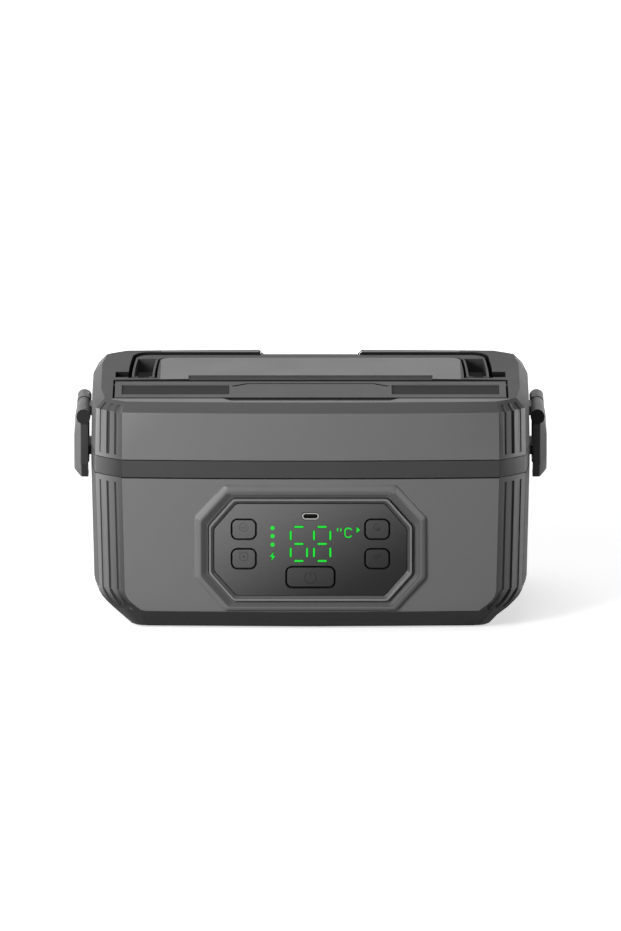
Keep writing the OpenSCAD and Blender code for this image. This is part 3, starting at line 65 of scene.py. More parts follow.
def add(tree, kind, sockets=None, **settings):
    """A new shader node. Its settings come first, because they choose its sockets."""
    node = tree.nodes.new("ShaderNode" + kind)
    for name, value in settings.items():
        setattr(node, name, value)
    for name, value in (sockets or {}).items():
        node.inputs[name].default_value = value
    return node


def links(tree, *pairs):
    """Joins outputs to inputs, one pair after the other."""
    for a, b in pairs:
        tree.links.new(a, b)


def moulded(name, low, high, gloss, grain_mm=0.35, depth_mm=0.006, patch_mm=30, metal=0.0,
            sheen_level=0.5):
    """Moulded or cast surface: a colour that drifts a little, fine grain and uneven gloss."""
    gloss_swing = 0.05
    mat = bpy.data.materials.new(name)
    mat.use_nodes = True
    tree = mat.node_tree
    skin = tree.nodes["Principled BSDF"]
    skin.inputs["Metallic"].default_value = metal
    skin.inputs["Specular IOR Level"].default_value = sheen_level
    place = add(tree, "TexCoord")
    patch = add(tree, "TexNoise", {"Scale": 1 / (patch_mm * MM), "Detail": 3})
    tint = add(tree, "Mix", {"A": (*low[:3], 1), "B": (*high[:3], 1)}, data_type="RGBA")
    grain = add(tree, "TexNoise", {"Scale": 1 / (grain_mm * MM), "Detail": 2})
    rough = add(tree, "MapRange", {"To Min": gloss - gloss_swing, "To Max": gloss + gloss_swing})
    bump = add(tree, "Bump", {"Strength": 0.6, "Distance": depth_mm * MM})
    links(tree, (place.outputs["Object"], patch.inputs["Vector"]),
          (place.outputs["Object"], grain.inputs["Vector"]),
          (patch.outputs["Fac"], tint.inputs["Factor"]),
          (tint.outputs["Result"], skin.inputs["Base Color"]),
          (patch.outputs["Fac"], rough.inputs["Value"]),
          (rough.outputs["Result"], skin.inputs["Roughness"]),
          (grain.outputs["Fac"], bump.inputs["Height"]),
          (bump.outputs["Normal"], skin.inputs["Normal"]))
    return mat


def wiring(mat):
    """The node tree of a moulded finish, its shader and its coordinates."""
    tree = mat.node_tree
    return (tree, tree.nodes["Principled BSDF"],
            next(n for n in tree.nodes if n.type == "TEX_COORD").outputs["Object"])


def banded_painted_shade(name, inner, outer):
    """Corner bands in painted shade by the broad faces and foot, painted light at the outer edge.
    """
    inner_side, outer_side, foot_low, foot_high = 103, 119, 14, 23
    mat = moulded(name, inner, inner, 0.38, metal=0.1, sheen_level=0.25)
    tree, skin, place = wiring(mat)
    axes = add(tree, "SeparateXYZ")
    side = add(tree, "Math", operation="ABSOLUTE")
    share = add(tree, "MapRange", {"From Min": inner_side * MM, "From Max": outer_side * MM})
    foot = add(tree, "MapRange", {"From Min": foot_low * MM, "From Max": foot_high * MM},
               interpolation_type="SMOOTHSTEP")
    tint = add(tree, "Mix", {"A": inner, "B": outer}, data_type="RGBA")
    # Painted shade near the foot: the bands darken to almost black.
    whole = add(tree, "Mix", {"A": grey(0.018)}, data_type="RGBA")
    links(tree, (place, axes.inputs["Vector"]),
          (axes.outputs["X"], side.inputs[0]),
          (side.outputs["Value"], share.inputs["Value"]),
          (share.outputs["Result"], tint.inputs["Factor"]),
          (axes.outputs["Z"], foot.inputs["Value"]),
          (foot.outputs["Result"], whole.inputs["Factor"]),
          (tint.outputs["Result"], whole.inputs["B"]),
          (whole.outputs["Result"], skin.inputs["Base Color"]))
    return mat


def merged(node):
    """A merged copy of a node's mesh as a bmesh, with its flat faces made whole."""
    bm = bmesh.new()
    bm.from_mesh(frame["nodes"][node].data)
    for face in bm.faces:
        face.material_index = 0
    bmesh.ops.remove_doubles(bm, verts=bm.verts, dist=0.002 * MM)
    bmesh.ops.dissolve_degenerate(bm, dist=0.001 * MM, edges=bm.edges)
    bmesh.ops.dissolve_limit(bm, angle_limit=radians(0.4), verts=bm.verts, edges=bm.edges,
                             delimit={"NORMAL"})
    return bm


def bevel(bm, edges, width_mm, segments, coat=-1):
    """Rounds these edges, or with one segment cuts a slant along them."""
    bmesh.ops.bevel(bm, geom=edges, offset=width_mm * MM, offset_type="OFFSET", affect="EDGES",
                    segments=segments, profile=0.5, material=coat, clamp_overlap=False)


def round_edges(bm, width_mm, segments=2, angle=40, shortest_mm=0.0, where=None):
    """Rounds the edges that turn more than the angle."""
    bevel(bm, [e for e in bm.edges if e.is_manifold and e.calc_face_angle(0) > radians(angle)
               and e.calc_length() > shortest_mm * MM
               and (where is None or where(*[v.co / MM for v in e.verts]))], width_mm, segments)


def round_corners(bm):
    """Rounds the upright edges where the flanks turn into the corner bands."""
    side, front, back, shortest = 112 * MM, 54 * MM, 66 * MM, 6 * MM

    def outward(edge):
        return all(f.normal.x * f.calc_center_median().x > 0 for f in edge.link_faces)
    bevel(bm, [e for e in bm.edges if e.is_manifold and e.calc_face_angle(0) > radians(25)
               and all(abs(v.co.x) > side and front < abs(v.co.y) < back for v in e.verts)
               and abs((e.verts[0].co - e.verts[1].co).normalized().z) > 0.95
               and e.calc_length() > shortest and outward(e)], 2.2, 4)


def mend_flats(bm):
    """Lays clean triangles in a flat face whose outline folds over itself."""
    fewest_corners, slack = 12, 0.01
    spread = {}
    for corners in bm.calc_loop_triangles():
        face = corners[0].face
        spread[face] = spread.get(face, 0) + area_tri(*[c.vert.co for c in corners])
    for face, laid in spread.items():
        whole = face.calc_area()
        if len(face.verts) < fewest_corners or abs(laid - whole) < slack * whole + 1e-8:
            continue
        start, index, corners = face.verts[0].co.copy(), face.material_index, list(face.verts)
        side = face.normal.orthogonal().normalized()
        up = face.normal.cross(side)
        flat = [Vector(((v.co - start).dot(side), (v.co - start).dot(up))) / MM for v in corners]
        spots, _, fills, known, _, _ = delaunay_2d_cdt(flat, [], [list(range(len(flat)))], 1, 1e-4)
        made = [corners[known[i][0]] if known[i] else
                bm.verts.new(start + (side * spot.x + up * spot.y) * MM)
                for i, spot in enumerate(spots)]
        bmesh.ops.delete(bm, geom=[face], context="FACES_ONLY")
        for fill in fills:
            if bm.faces.get([made[i] for i in fill]) is None:
                bm.faces.new([made[i] for i in fill]).material_index = index


def as_object(bm, name, smooth=24, soft=None):
    """A linked object. Edges that turn more than smooth degrees are sharp, unless soft says so."""
    mend_flats(bm)
    mesh = bpy.data.meshes.new(name)
    bm.to_mesh(mesh)
    bm.free()
    for extra in ("custom_normal", "sharp_edge", "sharp_face"):
        if extra in mesh.attributes:
            mesh.attributes.remove(mesh.attributes[extra])
    mesh.shade_smooth()
    mesh.set_sharp_from_angle(angle=radians(smooth))
    for edge in mesh.edges if soft else ():
        if all(soft(mesh.vertices[v].co / MM) for v in edge.vertices):
            edge.use_edge_sharp = False
    piece = bpy.data.objects.new(name, mesh)
    bpy.context.scene.collection.objects.link(piece)
    flats = piece.modifiers.new("flat faces stay flat", "WEIGHTED_NORMAL")
    flats.keep_sharp = True
    flats.weight = 80
    return piece


def stand_for(piece, material, *nodes):
    """The piece gets its finishes, rides on the body of these nodes and hides them."""
    for coat in material if isinstance(material, tuple) else (material,):
        piece.data.materials.append(coat)
    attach(piece, body_of[nodes[0]])
    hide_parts(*nodes)
    return piece


def beyond(place, half_width, half_depth):
    """True in the four corners, further out than these distances in mm from the middle."""
    return abs(place.x) > half_width and abs(place.y) > half_depth


def mark_bands(bm, band, groove):
    """Gives the corner bands their painted shade and light, and paints shade on their grooves'
    walls.
    """
    groove_from, slant_top, bend_top, facet = 104.5, 24, 18, 20 * MM * MM
    for face in bm.faces:
        place, way = face.calc_center_median() / MM, face.normal
        small = face.calc_area() < facet
        if beyond(place, 101, 54) and abs(way.z) < 0.4:
            if 0.5 < abs(way.x) < 0.9 or small:
                face.material_index = band
            if abs(way.y) > 0.9 and abs(place.x) > groove_from:
                face.material_index = groove
        if beyond(place, 86, 52):
            if place.z < slant_top and way.z < -0.1 and min(abs(way.x), abs(way.y)) > 0.25:
                face.material_index = band
            if place.z < bend_top and way.z > -0.1 and small:
                face.material_index = groove


def mark_slants(bm, index, low, high):
    """Paints shade on the broad slanted faces between two heights in mm."""
    front_from, side_from, front_rise = 58, 95, 8
    for face in bm.faces:
        place = face.calc_center_median() / MM
        in_front = abs(place.y) > front_from and abs(place.z - low) < front_rise
        if low < place.z < high and 0.35 < abs(face.normal.z) < 0.9 and (
                in_front or abs(place.x) > side_from):
            face.material_index = index


def mark_flanks(bm, index):
    """Gives the upright side walls their coarser finish, painted in shade."""
    wall_from = 114 * MM
    for face in bm.faces:
        if abs(face.normal.x) > 0.95 and abs(face.calc_center_median().x) > wall_from:
            face.material_index = index


def mark_seams(bm, index, *heights):
    """Paints a shadow line on the rounded edges that meet at a seam."""
    reach = 0.5
    for face in bm.faces:
        place = face.calc_center_median() / MM
        if any(abs(place.z - h) < reach for h in heights) and 0.1 < abs(face.normal.z) < 0.98:
            face.material_index = index


def off_grooves(a, b):
    """True for an edge that keeps clear of the grooved corner bands."""
    return not all(beyond(v, 102.5, 50) for v in (a, b))


def by_panel(spot, depth, half_width, low, high):
    """True in the part of the front that the raised frame of the panel takes up."""
    return spot.y < -depth and abs(spot.x) < half_width and low < spot.z < high


def on_frame(spot):
    """True on the frame's own soft edges."""
    return by_panel(spot, 72.2, 64.5, 11, 77)


body_grey = 0.14
abs_dark = moulded("dark grey ABS, spark grain", grey(body_grey * 0.97), grey(body_grey * 1.03),
                   0.42, metal=0.15, sheen_level=0.2)
abs_low_painted_shade = moulded("dark grey ABS, foot chamfer in painted shade", grey(body_grey * 0.18), grey(body_grey * 0.22),
                  0.5, metal=0.1, sheen_level=0.1)
abs_flank_painted_shade = moulded("dark grey ABS, coarse flanks in painted shade", grey(body_grey * 0.72), grey(body_grey * 0.80),
                    0.62, grain_mm=0.45, depth_mm=0.01, sheen_level=0.06)
abs_band_painted_shade = banded_painted_shade("dark grey ABS, corner bands with painted shade and light", grey(body_grey * 0.30), grey(body_grey * 1.30))
abs_groove_painted_shade = moulded("dark grey ABS, painted shade in grooves and inner slopes", grey(0.030), grey(0.036), 0.5,
                     sheen_level=0.1)
painted_shadow_black = moulded("painted shadow in gaps and seams", grey(0.010), grey(0.014), 0.7, sheen_level=0.05)
abs_frame_painted_shade = moulded("dark grey ABS, slope round the panel in painted shade", grey(0.082), grey(0.090), 0.5,
                    sheen_level=0.15)
abs_crest_painted_light = moulded("dark grey ABS, outer slope round the panel", grey(0.150), grey(0.158), 0.62,
                    sheen_level=0.06)
abs_brow_painted_highlight = moulded("dark grey ABS, slope over the panel with painted highlight", grey(0.196), grey(0.204), 0.62,
                   sheen_level=0.06)
seam_low, seam_high = 87, 97  # where the rim meets the base and the lid, in mm
foot_top, slant_top, panel_middle = 12, 24, 43.3

band, low, flank, seam, groove, slope, crest, brow = range(1, 9)
bm = merged("base_shell")
round_edges(bm, 0.4, shortest_mm=0.9, where=off_grooves)
round_corners(bm)
# Painted shade on the chamfers round the foot.
mark_slants(bm, low, 0, slant_top)
mark_bands(bm, band, groove)
mark_flanks(bm, flank)
mark_seams(bm, seam, seam_low)
# Painted shade under the foot corners. Round the panel: painted shade on the inner slopes, painted
# light on the outer ones and a painted highlight on the slope above.
for face in bm.faces:
    place, way = face.calc_center_median() / MM, face.normal
    if place.z < foot_top and beyond(place, 86, 50) and way.z < -0.1:
        face.material_index = low
    if by_panel(place, 71, 68, 9.2, 78) and -0.97 < way.y < -0.2:
        inwards = way.x * place.x + way.z * (place.z - panel_middle)
        face.material_index = slope if inwards < -1.2 else brow if way.z > 0.12 else crest
stand_for(as_object(bm, "base_moulding", soft=on_frame), (
    abs_dark, abs_band_painted_shade, abs_low_painted_shade, abs_flank_painted_shade, painted_shadow_black, abs_groove_painted_shade, abs_frame_painted_shade, abs_crest_painted_light,
    abs_brow_painted_highlight), "base_shell")

# ---- Rim ring ---------------------------------------------------------------
# The band between base and lid, a separate moulding in darker ABS with the catches for the
# latches at its sides and a ledge inside for the pot. The well's flange is screwed to it.

abs_rim = moulded("darker ABS of the rim", grey(0.036), grey(0.042), 0.42, metal=0.1,
                  sheen_level=0.25)
rim_band_painted_shade = banded_painted_shade("darker ABS of the rim, corner bands", grey(0.006), grey(0.080))
# The rim's corner bands get painted shade and light, and its seams a painted shadow line.
band, seam = range(1, 3)
bm = merged("rim_ring")
round_edges(bm, 0.4, shortest_mm=0.9)
round_corners(bm)
mark_bands(bm, band, band)
mark_seams(bm, seam, seam_low, seam_high)
stand_for(as_object(bm, "rim_moulding"), (abs_rim, rim_band_painted_shade, painted_shadow_black), "rim_ring")

# ---- Screws -----------------------------------------------------------------
# Zinc plated steel screws, bought in. They join the well to the rim ring and hold the bottom
# cover, the control board and the lid's lining.


def finish_node(material, *nodes):
    """Nodes that stay as they are get their material."""
    for node in nodes:
        mesh = frame["nodes"][node].data
        for i in range(len(mesh.materials)):
            mesh.materials[i] = material


steel = moulded("zinc plated screw steel", (0.52, 0.52, 0.50), (0.60, 0.60, 0.58), 0.32,
                grain_mm=0.25, depth_mm=0.003, patch_mm=6, metal=1.0)
finish_node(steel, "rim_screws", "bottom_screws", "board_screws", "lid_screws")

# ---- Bottom cover and feet --------------------------------------------------
# A flat plate in black ABS closes the battery room and is screwed on from below. Four
# rubber feet are glued into shallow seats in it.


def dress(node, name, coat, width_mm, segments=2, shortest_mm=0.0, angle=40, smooth=24):
    """A plain piece in place of its node: its edges rounded, and one finish all over."""
    bm = merged(node)
    round_edges(bm, width_mm, segments, angle, shortest_mm)
    stand_for(as_object(bm, name, smooth), coat, node)


abs_black = moulded("black ABS, coarse grain", grey(0.012), grey(0.016), 0.6, grain_mm=0.5,
                    depth_mm=0.012, sheen_level=0.12)
dress("bottom_cover", "bottom_plate", abs_black, 0.3, shortest_mm=1.0)
rubber = moulded("black silicone rubber", grey(0.016), grey(0.024), 0.72, grain_mm=0.6,
                 depth_mm=0.02)
dress("rubber_feet", "feet", rubber, 0.3)

# ---- Panel bezel ------------------------------------------------------------
# An eight-sided frame round the control panel, moulded in satin grey plastic. A flange
# seats it behind the front wall, and its rounded rim shows as a thin light line between
# slopes painted in shade.

satin_grey = moulded("satin grey bezel", grey(0.16), grey(0.18), 0.3, grain_mm=0.3,
                     depth_mm=0.002)
bezel_slope_painted_shade = moulded("bezel slope in painted shade", grey(0.026), grey(0.032), 0.36, grain_mm=0.3,
                      depth_mm=0.002, sheen_level=0.4)
slope, upper_slope = range(1, 3)
bm = merged("panel_bezel")
round_edges(bm, 0.3, angle=30, shortest_mm=0.9)
# The slopes beside the rim are painted in shade.
for face in bm.faces:
    if face.normal.y > -0.93:
        face.material_index = upper_slope if face.normal.z > 0.3 else slope
stand_for(as_object(bm, "bezel_moulding"), (satin_grey, bezel_slope_painted_shade, abs_frame_painted_shade), "panel_bezel")

# ---- Control panel ----------------------------------------------------------
# Smoked acrylic plate behind the bezel, with painted light that runs from grey at the upper left
# to near black at the lower right, and openings for the buttons, the charging socket and the
# display marks.

panel_low, panel_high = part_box("control_panel")
panel_mid = (panel_low + panel_high) / 2
panel_half = (panel_high - panel_low) / 2


def smoked_with_painted_light(name, light, dark, gloss):
    """Plate with painted light that runs from the upper left corner to dark at the lower right."""
    mat = moulded(name, grey(light), grey(light), gloss, grain_mm=0.3, depth_mm=0.0015,
                  sheen_level=0.22)
    tree, skin, place = wiring(mat)
    to_right, to_foot, tint_from, tint_to = 0.62, 0.55, -1.3, 0.95
    fall = (to_right / panel_half.x, 0, -to_foot / panel_half.z)
    across = add(tree, "VectorMath", {1: fall}, operation="DOT_PRODUCT")
    share = add(tree, "MapRange", {"From Min": tint_from + fall[2] * panel_mid.z,
                                   "From Max": tint_to + fall[2] * panel_mid.z},
                interpolation_type="SMOOTHSTEP")
    tint = add(tree, "Mix", {"A": grey(light), "B": grey(dark)}, data_type="RGBA")
    links(tree, (place, across.inputs[0]),
          (across.outputs["Value"], share.inputs["Value"]),
          (share.outputs["Result"], tint.inputs["Factor"]),
          (tint.outputs["Result"], skin.inputs["Base Color"]))
    return mat


def mark_sides(bm, index):
    """Paints shadow on every face that turns away from the front."""
    for face in bm.faces:
        if face.normal.y > -0.9:
            face.material_index = index


smoked_acrylic_painted_light = smoked_with_painted_light("dark tinted acrylic, painted light gradient", 0.15, 0.006, 0.3)
bm = merged("control_panel")
round_edges(bm, 0.2, 1, shortest_mm=0.25)
mark_sides(bm, 1)
stand_for(as_object(bm, "panel_plate"), (smoked_acrylic_painted_light, painted_shadow_black), "control_panel")

# ---- Display ----------------------------------------------------------------
# Green plastic light guides fill the marks cut through the panel: status dots, a charging
# bolt, two seven-segment digits, the degree sign with its letter and an arrow. The lamp
# module sits behind them.


def lit(name, colour, strength):
    """Translucent light guide lit from behind, a little uneven in its glow."""
    dim = tuple(c * 0.15 for c in colour)
    mat = moulded(name, dim, dim, 0.4, grain_mm=0.4, depth_mm=0.002, sheen_level=0.2)
    tree, skin, place = wiring(mat)
    cloud = add(tree, "TexNoise", {"Scale": 600})
    glow = add(tree, "MapRange", {"To Min": strength * 0.85, "To Max": strength * 1.15})
    skin.inputs["Emission Color"].default_value = (*colour, 1)
    links(tree, (place, cloud.inputs["Vector"]),
          (cloud.outputs["Fac"], glow.inputs["Value"]),
          (glow.outputs["Result"], skin.inputs["Emission Strength"]))
    return mat


led_green = lit("lit green light guide", (0.012, 0.74, 0.04), 0.85)
finish_node(led_green, "display_guides")
white_abs = moulded("white lamp housing", grey(0.62), grey(0.68), 0.5)
finish_node(white_abs, "display_module")

# ---- Charging socket --------------------------------------------------------
# USB-C socket drawn from steel sheet, set in the top middle of the panel, with the tongue that
# carries its contacts.

socket_steel = moulded("drawn socket steel", (0.26, 0.26, 0.26), (0.32, 0.32, 0.31), 0.34,
                       grain_mm=0.2, depth_mm=0.002, patch_mm=4, metal=1.0)
bm = merged("usb_c_socket")
round_edges(bm, 0.1, 1, shortest_mm=0.15)
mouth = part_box("usb_c_socket")[0].y
lip = 0.2 * MM
# Painted shadow inside the socket, past its mouth.
for face in bm.faces:
    if face.calc_center_median().y > mouth + lip:
        face.material_index = 1
stand_for(as_object(bm, "charging_socket"), (socket_steel, painted_shadow_black), "usb_c_socket")

# ---- Boards, switches and battery -------------------------------------------
# Inside the base: the control board with its switches on the bezel's posts, seven cells in a
# black holder under a strap, the nickel strips that link them, and the charging board on the
# bottom cover.

board_green = moulded("green solder mask", (0.012, 0.085, 0.035), (0.018, 0.115, 0.05), 0.35,
                      grain_mm=0.5, depth_mm=0.01, patch_mm=5)
finish_node(board_green, "control_board", "charge_board")
switch_black = moulded("black switch plastic", grey(0.02), grey(0.028), 0.45)
finish_node(switch_black, "tact_switches")
holder_black = moulded("black glass-filled nylon", grey(0.022), grey(0.032), 0.55, grain_mm=0.4,
                       depth_mm=0.015)
finish_node(holder_black, "battery_holder", "battery_clamp")
cell_wrap = moulded("blue shrink wrap of the cells", (0.02, 0.10, 0.32), (0.03, 0.13, 0.40),
                    0.28, grain_mm=0.8, depth_mm=0.01, patch_mm=12)
finish_node(cell_wrap, "battery_cells")
nickel = moulded("nickel strip", (0.58, 0.56, 0.51), (0.68, 0.66, 0.61), 0.3, grain_mm=0.3,
                 depth_mm=0.004, patch_mm=8, metal=1.0)
finish_node(nickel, "cell_links")

# ---- Buttons ----------------------------------------------------------------
# Five caps in satin black plastic with the same painted light as the panel, each free in its
# own opening with a gap round it whose sides are painted in shadow, and each with a plain
# printed sign.

cap_plastic_painted_light = smoked_with_painted_light("button caps, painted light gradient", 0.14, 0.008, 0.36)
print_ink_painted_light = smoked_with_painted_light("printed marks on the caps, painted light gradient", 0.075, 0.002, 0.6)
line_width, ink_depth = 0.36, 0.05


def stroke(bm, cap, ax, az, bx, bz, width=line_width):
    """A printed line between two points, both given from the middle of the cap's front."""
    x, y, z = cap
    thick, sunk, past_ends = 0.06 * MM, 0.02, 0.1 * MM
    long = Vector((bx - ax, 0, bz - az)) * MM
    spot = Vector((x + (ax + bx) / 2, y - sunk, z + (az + bz) / 2)) * MM
    bmesh.ops.create_cube(bm, size=1, matrix=Matrix.Translation(spot) @ Matrix.Rotation(
        atan2(-long.z, long.x), 4, "Y") @ Matrix.Diagonal(
        (long.length + past_ends, thick, width * MM, 1)))


def arc(bm, cap, ax, az, radius, start, sweep, width=line_width):
    """A printed arc, spun from a small square; angles in degrees from the right, upwards."""
    x, y, z = cap[0] + ax, cap[1], cap[2] + az
    around = Matrix.Rotation(radians(-start), 3, "Y")
    near, far = radius - width / 2, radius + width / 2
    ring = [bm.verts.new(around @ Vector((r, front, 0)) * MM + Vector((x, 0, z)) * MM)
            for r, front in ((near, y - ink_depth), (far, y - ink_depth), (far, y), (near, y))]
    face = bm.faces.new(ring)
    bmesh.ops.spin(bm, geom=[face] + face.edges[:] + ring, cent=(x * MM, 0, z * MM),
                   axis=(0, 1, 0), angle=radians(-sweep), steps=max(6, round(sweep / 12)),
                   use_merge=sweep == 360, use_duplicate=False)


# Each cap's rounded edge, and its sign: arcs by their middle, radius, start and sweep, strokes
# from point to point, some with a width of their own.
caps = {
    "schedule": (0.5, [(arc, 0, 1.2, 2.3, 60, 300), (stroke, -1, 1.3, -0.1, 0.5),
                       (stroke, -0.1, 0.5, 2, 2.8)]),
    "timer": (0.5, [(arc, 0, 1.2, 2.3, 0, 360), (arc, 0, 1.2, 0.4, 0, 360, 0.7),
                    (stroke, -2.4, 3.3, -1.5, 4), (stroke, 2.4, 3.3, 1.5, 4)]),
    "heat": (0.5, [(arc, -0.2, 1.2, 1.9, 70, 280), (arc, 0.5, 0.6, 0.8, 150, 240)]),
    "warm": (0.5, [(arc, shift, height, 0.8, start, 180) for shift in (-1.5, 0, 1.5)
                   for height, start in ((2.2, -90), (0.6, 90))]),
    "power": (0.8, [(arc, 0, -0.3, 3.2, 115, 310, 0.5), (stroke, 0, 0.6, 0, 3.8, 0.5)]),
}
for key, (edge, sign) in caps.items():
    node, name = key + "_button", key + "_cap"
    bm = merged(node)
    round_edges(bm, edge, shortest_mm=0.15)
    mark_sides(bm, 1)
    stand_for(as_object(bm, name), (cap_plastic_painted_light, painted_shadow_black), node)
    low, high = (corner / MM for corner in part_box(node))
    front_middle = ((low.x + high.x) / 2, low.y, (low.z + high.z) / 2)
    bm = bmesh.new()
    for draw, *values in sign:
        draw(bm, front_middle, *values)
    bmesh.ops.recalc_face_normals(bm, faces=bm.faces)
    mark = as_object(bm, name + "_mark")
    mark.data.materials.append(print_ink_painted_light)
    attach(mark, body_of[node])

# ---- Heating stack ----------------------------------------------------------
# On the floor of the well: the etched heating film and the aluminium plate that spreads its
# heat, with the temperature probe up through both. A mica board below shields the battery.

mica = moulded("pressed mica board", (0.55, 0.48, 0.36), (0.66, 0.58, 0.45), 0.7, grain_mm=1.2,
               depth_mm=0.03, patch_mm=9)
finish_node(mica, "insulation_board")
film = moulded("amber polyimide film", (0.42, 0.16, 0.02), (0.52, 0.22, 0.03), 0.3, grain_mm=0.6)
finish_node(film, "heating_film")
aluminium = moulded("rolled aluminium", (0.68, 0.68, 0.69), (0.76, 0.76, 0.77), 0.34,
                    grain_mm=0.3, depth_mm=0.004, patch_mm=14, metal=1.0)
finish_node(aluminium, "heating_plate", "temperature_probe")

# ---- Inner well -------------------------------------------------------------
# Tub of light grey polypropylene, injection moulded, that hangs in the base from the rim
# ring, screwed on by its flange. The food pot stands in it.

well_grey = moulded("light grey polypropylene", grey(0.36), grey(0.40), 0.4, grain_mm=0.5)
dress("inner_well", "well_tub", well_grey, 0.3, shortest_mm=0.9)

# ---- Food pot ---------------------------------------------------------------
# Stainless steel pot, deep drawn, with a rolled rim over the ring's ledge and a brushed
# finish along its walls. It stands on the heating plate and lifts out.


def brushed(name, low, high, gloss):
    """Steel with brush lines: noise drawn out along the walls."""
    mat = moulded(name, low, high, gloss, grain_mm=0.3, depth_mm=0.0008, patch_mm=20, metal=1.0)
    tree, skin, place = wiring(mat)
    stretch = add(tree, "Mapping", {"Scale": (14, 14, 900)})
    lines = add(tree, "TexNoise", {"Scale": 4, "Detail": 4})
    swing = add(tree, "MapRange", {"To Min": gloss - 0.08, "To Max": gloss + 0.1})
    bump = next(n for n in tree.nodes if n.type == "BUMP")
    links(tree, (place, stretch.inputs["Vector"]),
          (stretch.outputs["Vector"], lines.inputs["Vector"]),
          (lines.outputs["Fac"], swing.inputs["Value"]),
          (swing.outputs["Result"], skin.inputs["Roughness"]),
          (lines.outputs["Fac"], bump.inputs["Height"]))
    return mat


pot_steel = brushed("brushed stainless steel", (0.50, 0.50, 0.49), (0.56, 0.56, 0.55), 0.34)
dress("food_pot", "steel_pot", pot_steel, 0.2, shortest_mm=0.9, angle=50, smooth=40)

# ---- Pot lid, seal and steam valve ------------------------------------------
# A grey polypropylene lid plugs the pot, with a white silicone ring round it and a small
# silicone valve that is pulled to let the steam out.

lid_pp = moulded("grey polypropylene", grey(0.30), grey(0.34), 0.42, grain_mm=0.5)
dress("pot_lid", "pot_cover_plate", lid_pp, 0.3, shortest_mm=0.9)
silicone = moulded("white silicone", grey(0.70), grey(0.76), 0.55, grain_mm=0.7, depth_mm=0.01)
dress("pot_lid_seal", "pot_seal_ring", silicone, 0.5, 3)
valve_silicone = moulded("grey silicone valve", grey(0.20), grey(0.24), 0.55, grain_mm=0.5,
                         depth_mm=0.01)
dress("steam_valve", "valve_plug", valve_silicone, 0.35, 3)

# ---- Lid shell --------------------------------------------------------------
# The outer lid, moulded in the same dark plastic as the base, with the openings for the
# cutlery tray and the handle and three short grooves over each corner of its chamfer. The
# two latches hold it down.

lid_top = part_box("lid_shell")[1].z
flap_front, flap_back = (corner.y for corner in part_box("cutlery_cover"))
# In mm: the smooth field between the handle's arms, the lip before the flap, the heights at
# which the pockets, the chamfer and the top begin, and the finger notch at the back.
island_half, island_front, lip_back = 83, -12, -60
pocket_foot, chamfer_foot, top_foot = 110, 122, 127
notch_foot, notch_near, notch_far, notch_front = 124, 20, 34, 56


def slant_edges(bm, width_mm, coat, near, far):
    """Cuts a painted shadow slant along straight top edges running across between two depths."""
    bevel(bm, [e for e in bm.edges if all(
        v.co.z > lid_top - 1 * MM and near < v.co.y < far for v in e.verts)
        and abs(e.verts[0].co.y - e.verts[1].co.y) < 0.01 * MM
        and e.calc_face_angle(0) > radians(60)], width_mm, 1, coat)


abs_chamfer_painted_shade = moulded("dark grey ABS, top chamfer in painted shade", grey(body_grey * 0.50),
                      grey(body_grey * 0.55), 0.46, metal=0.1, sheen_level=0.2)
abs_island = moulded("dark grey ABS, smooth top field", grey(body_grey * 0.92),
                     grey(body_grey * 0.96), 0.36, metal=0.1, sheen_level=0.22)
abs_top_painted_shade = moulded("dark grey ABS, lid top in painted shade", grey(body_grey * 0.40), grey(body_grey * 0.44), 0.45,
                  sheen_level=0.12)
band, chamfer, flank, island, seam, top, groove = range(1, 8)
bm = merged("lid_shell")
slant_edges(bm, 2.4, seam, flap_back, flap_back + 2 * MM)
round_edges(bm, 0.35, shortest_mm=0.9, where=off_grooves)
round_corners(bm)
for spot, way in (((island_half * MM, 0, 0), (1, 0, 0)), ((-island_half * MM, 0, 0), (1, 0, 0)),
                  ((0, lip_back * MM, 0), (0, 1, 0))):
    tops = [f for f in bm.faces if f.normal.z > 0.95
            and f.calc_center_median().z > lid_top - 0.1 * MM]
    rims = {e for f in tops for e in f.edges}
    bmesh.ops.bisect_plane(bm, geom=tops + list(rims) + list({v for e in rims for v in e.verts}),
                           dist=0.001 * MM, plane_co=spot, plane_no=way)
# Painted shade on the top chamfer.
mark_slants(bm, chamfer, chamfer_foot, chamfer_foot + 7)
mark_flanks(bm, flank)
# Painted shadow on the walls of the pockets, and painted shade on the lid's top round the smooth
# field, on its lower top faces and on the sides of the finger notch.
for face in bm.faces:
    place, way = face.calc_center_median() / MM, face.normal
    if place.z > pocket_foot and abs(way.z) < 0.5 and (
            abs(place.x) < 112 and abs(place.y) < 69):
        face.material_index = seam
    if way.z > 0.9 and place.z > top_foot:
        field = place.y < lip_back or abs(place.x) < island_half and place.y > island_front
        face.material_index = island if field else top
        if place.z < lid_top / MM - 0.3:
            face.material_index = groove
    if place.z > notch_foot and place.y > notch_front and abs(way.x) > 0.15 and (
            notch_near < abs(place.x) < notch_far):
        face.material_index = groove
mark_bands(bm, band, groove)
stand_for(as_object(bm, "lid_moulding"), (
    abs_dark, abs_band_painted_shade, abs_chamfer_painted_shade, abs_flank_painted_shade, abs_island, painted_shadow_black, abs_top_painted_shade, abs_groove_painted_shade),
    "lid_shell")

# ---- Lid lining and seal ----------------------------------------------------
# A light grey polypropylene lining closes the lid from below and is held by screws. The
# black silicone ring under its skirt seals the lid against the rim.

dress("lid_inner_panel", "lid_lining", well_grey, 0.3, shortest_mm=0.9)
black_silicone = moulded("black silicone seal", grey(0.018), grey(0.026), 0.6, grain_mm=0.6,
                         depth_mm=0.012)
dress("lid_seal", "lid_seal_ring", black_silicone, 0.4)

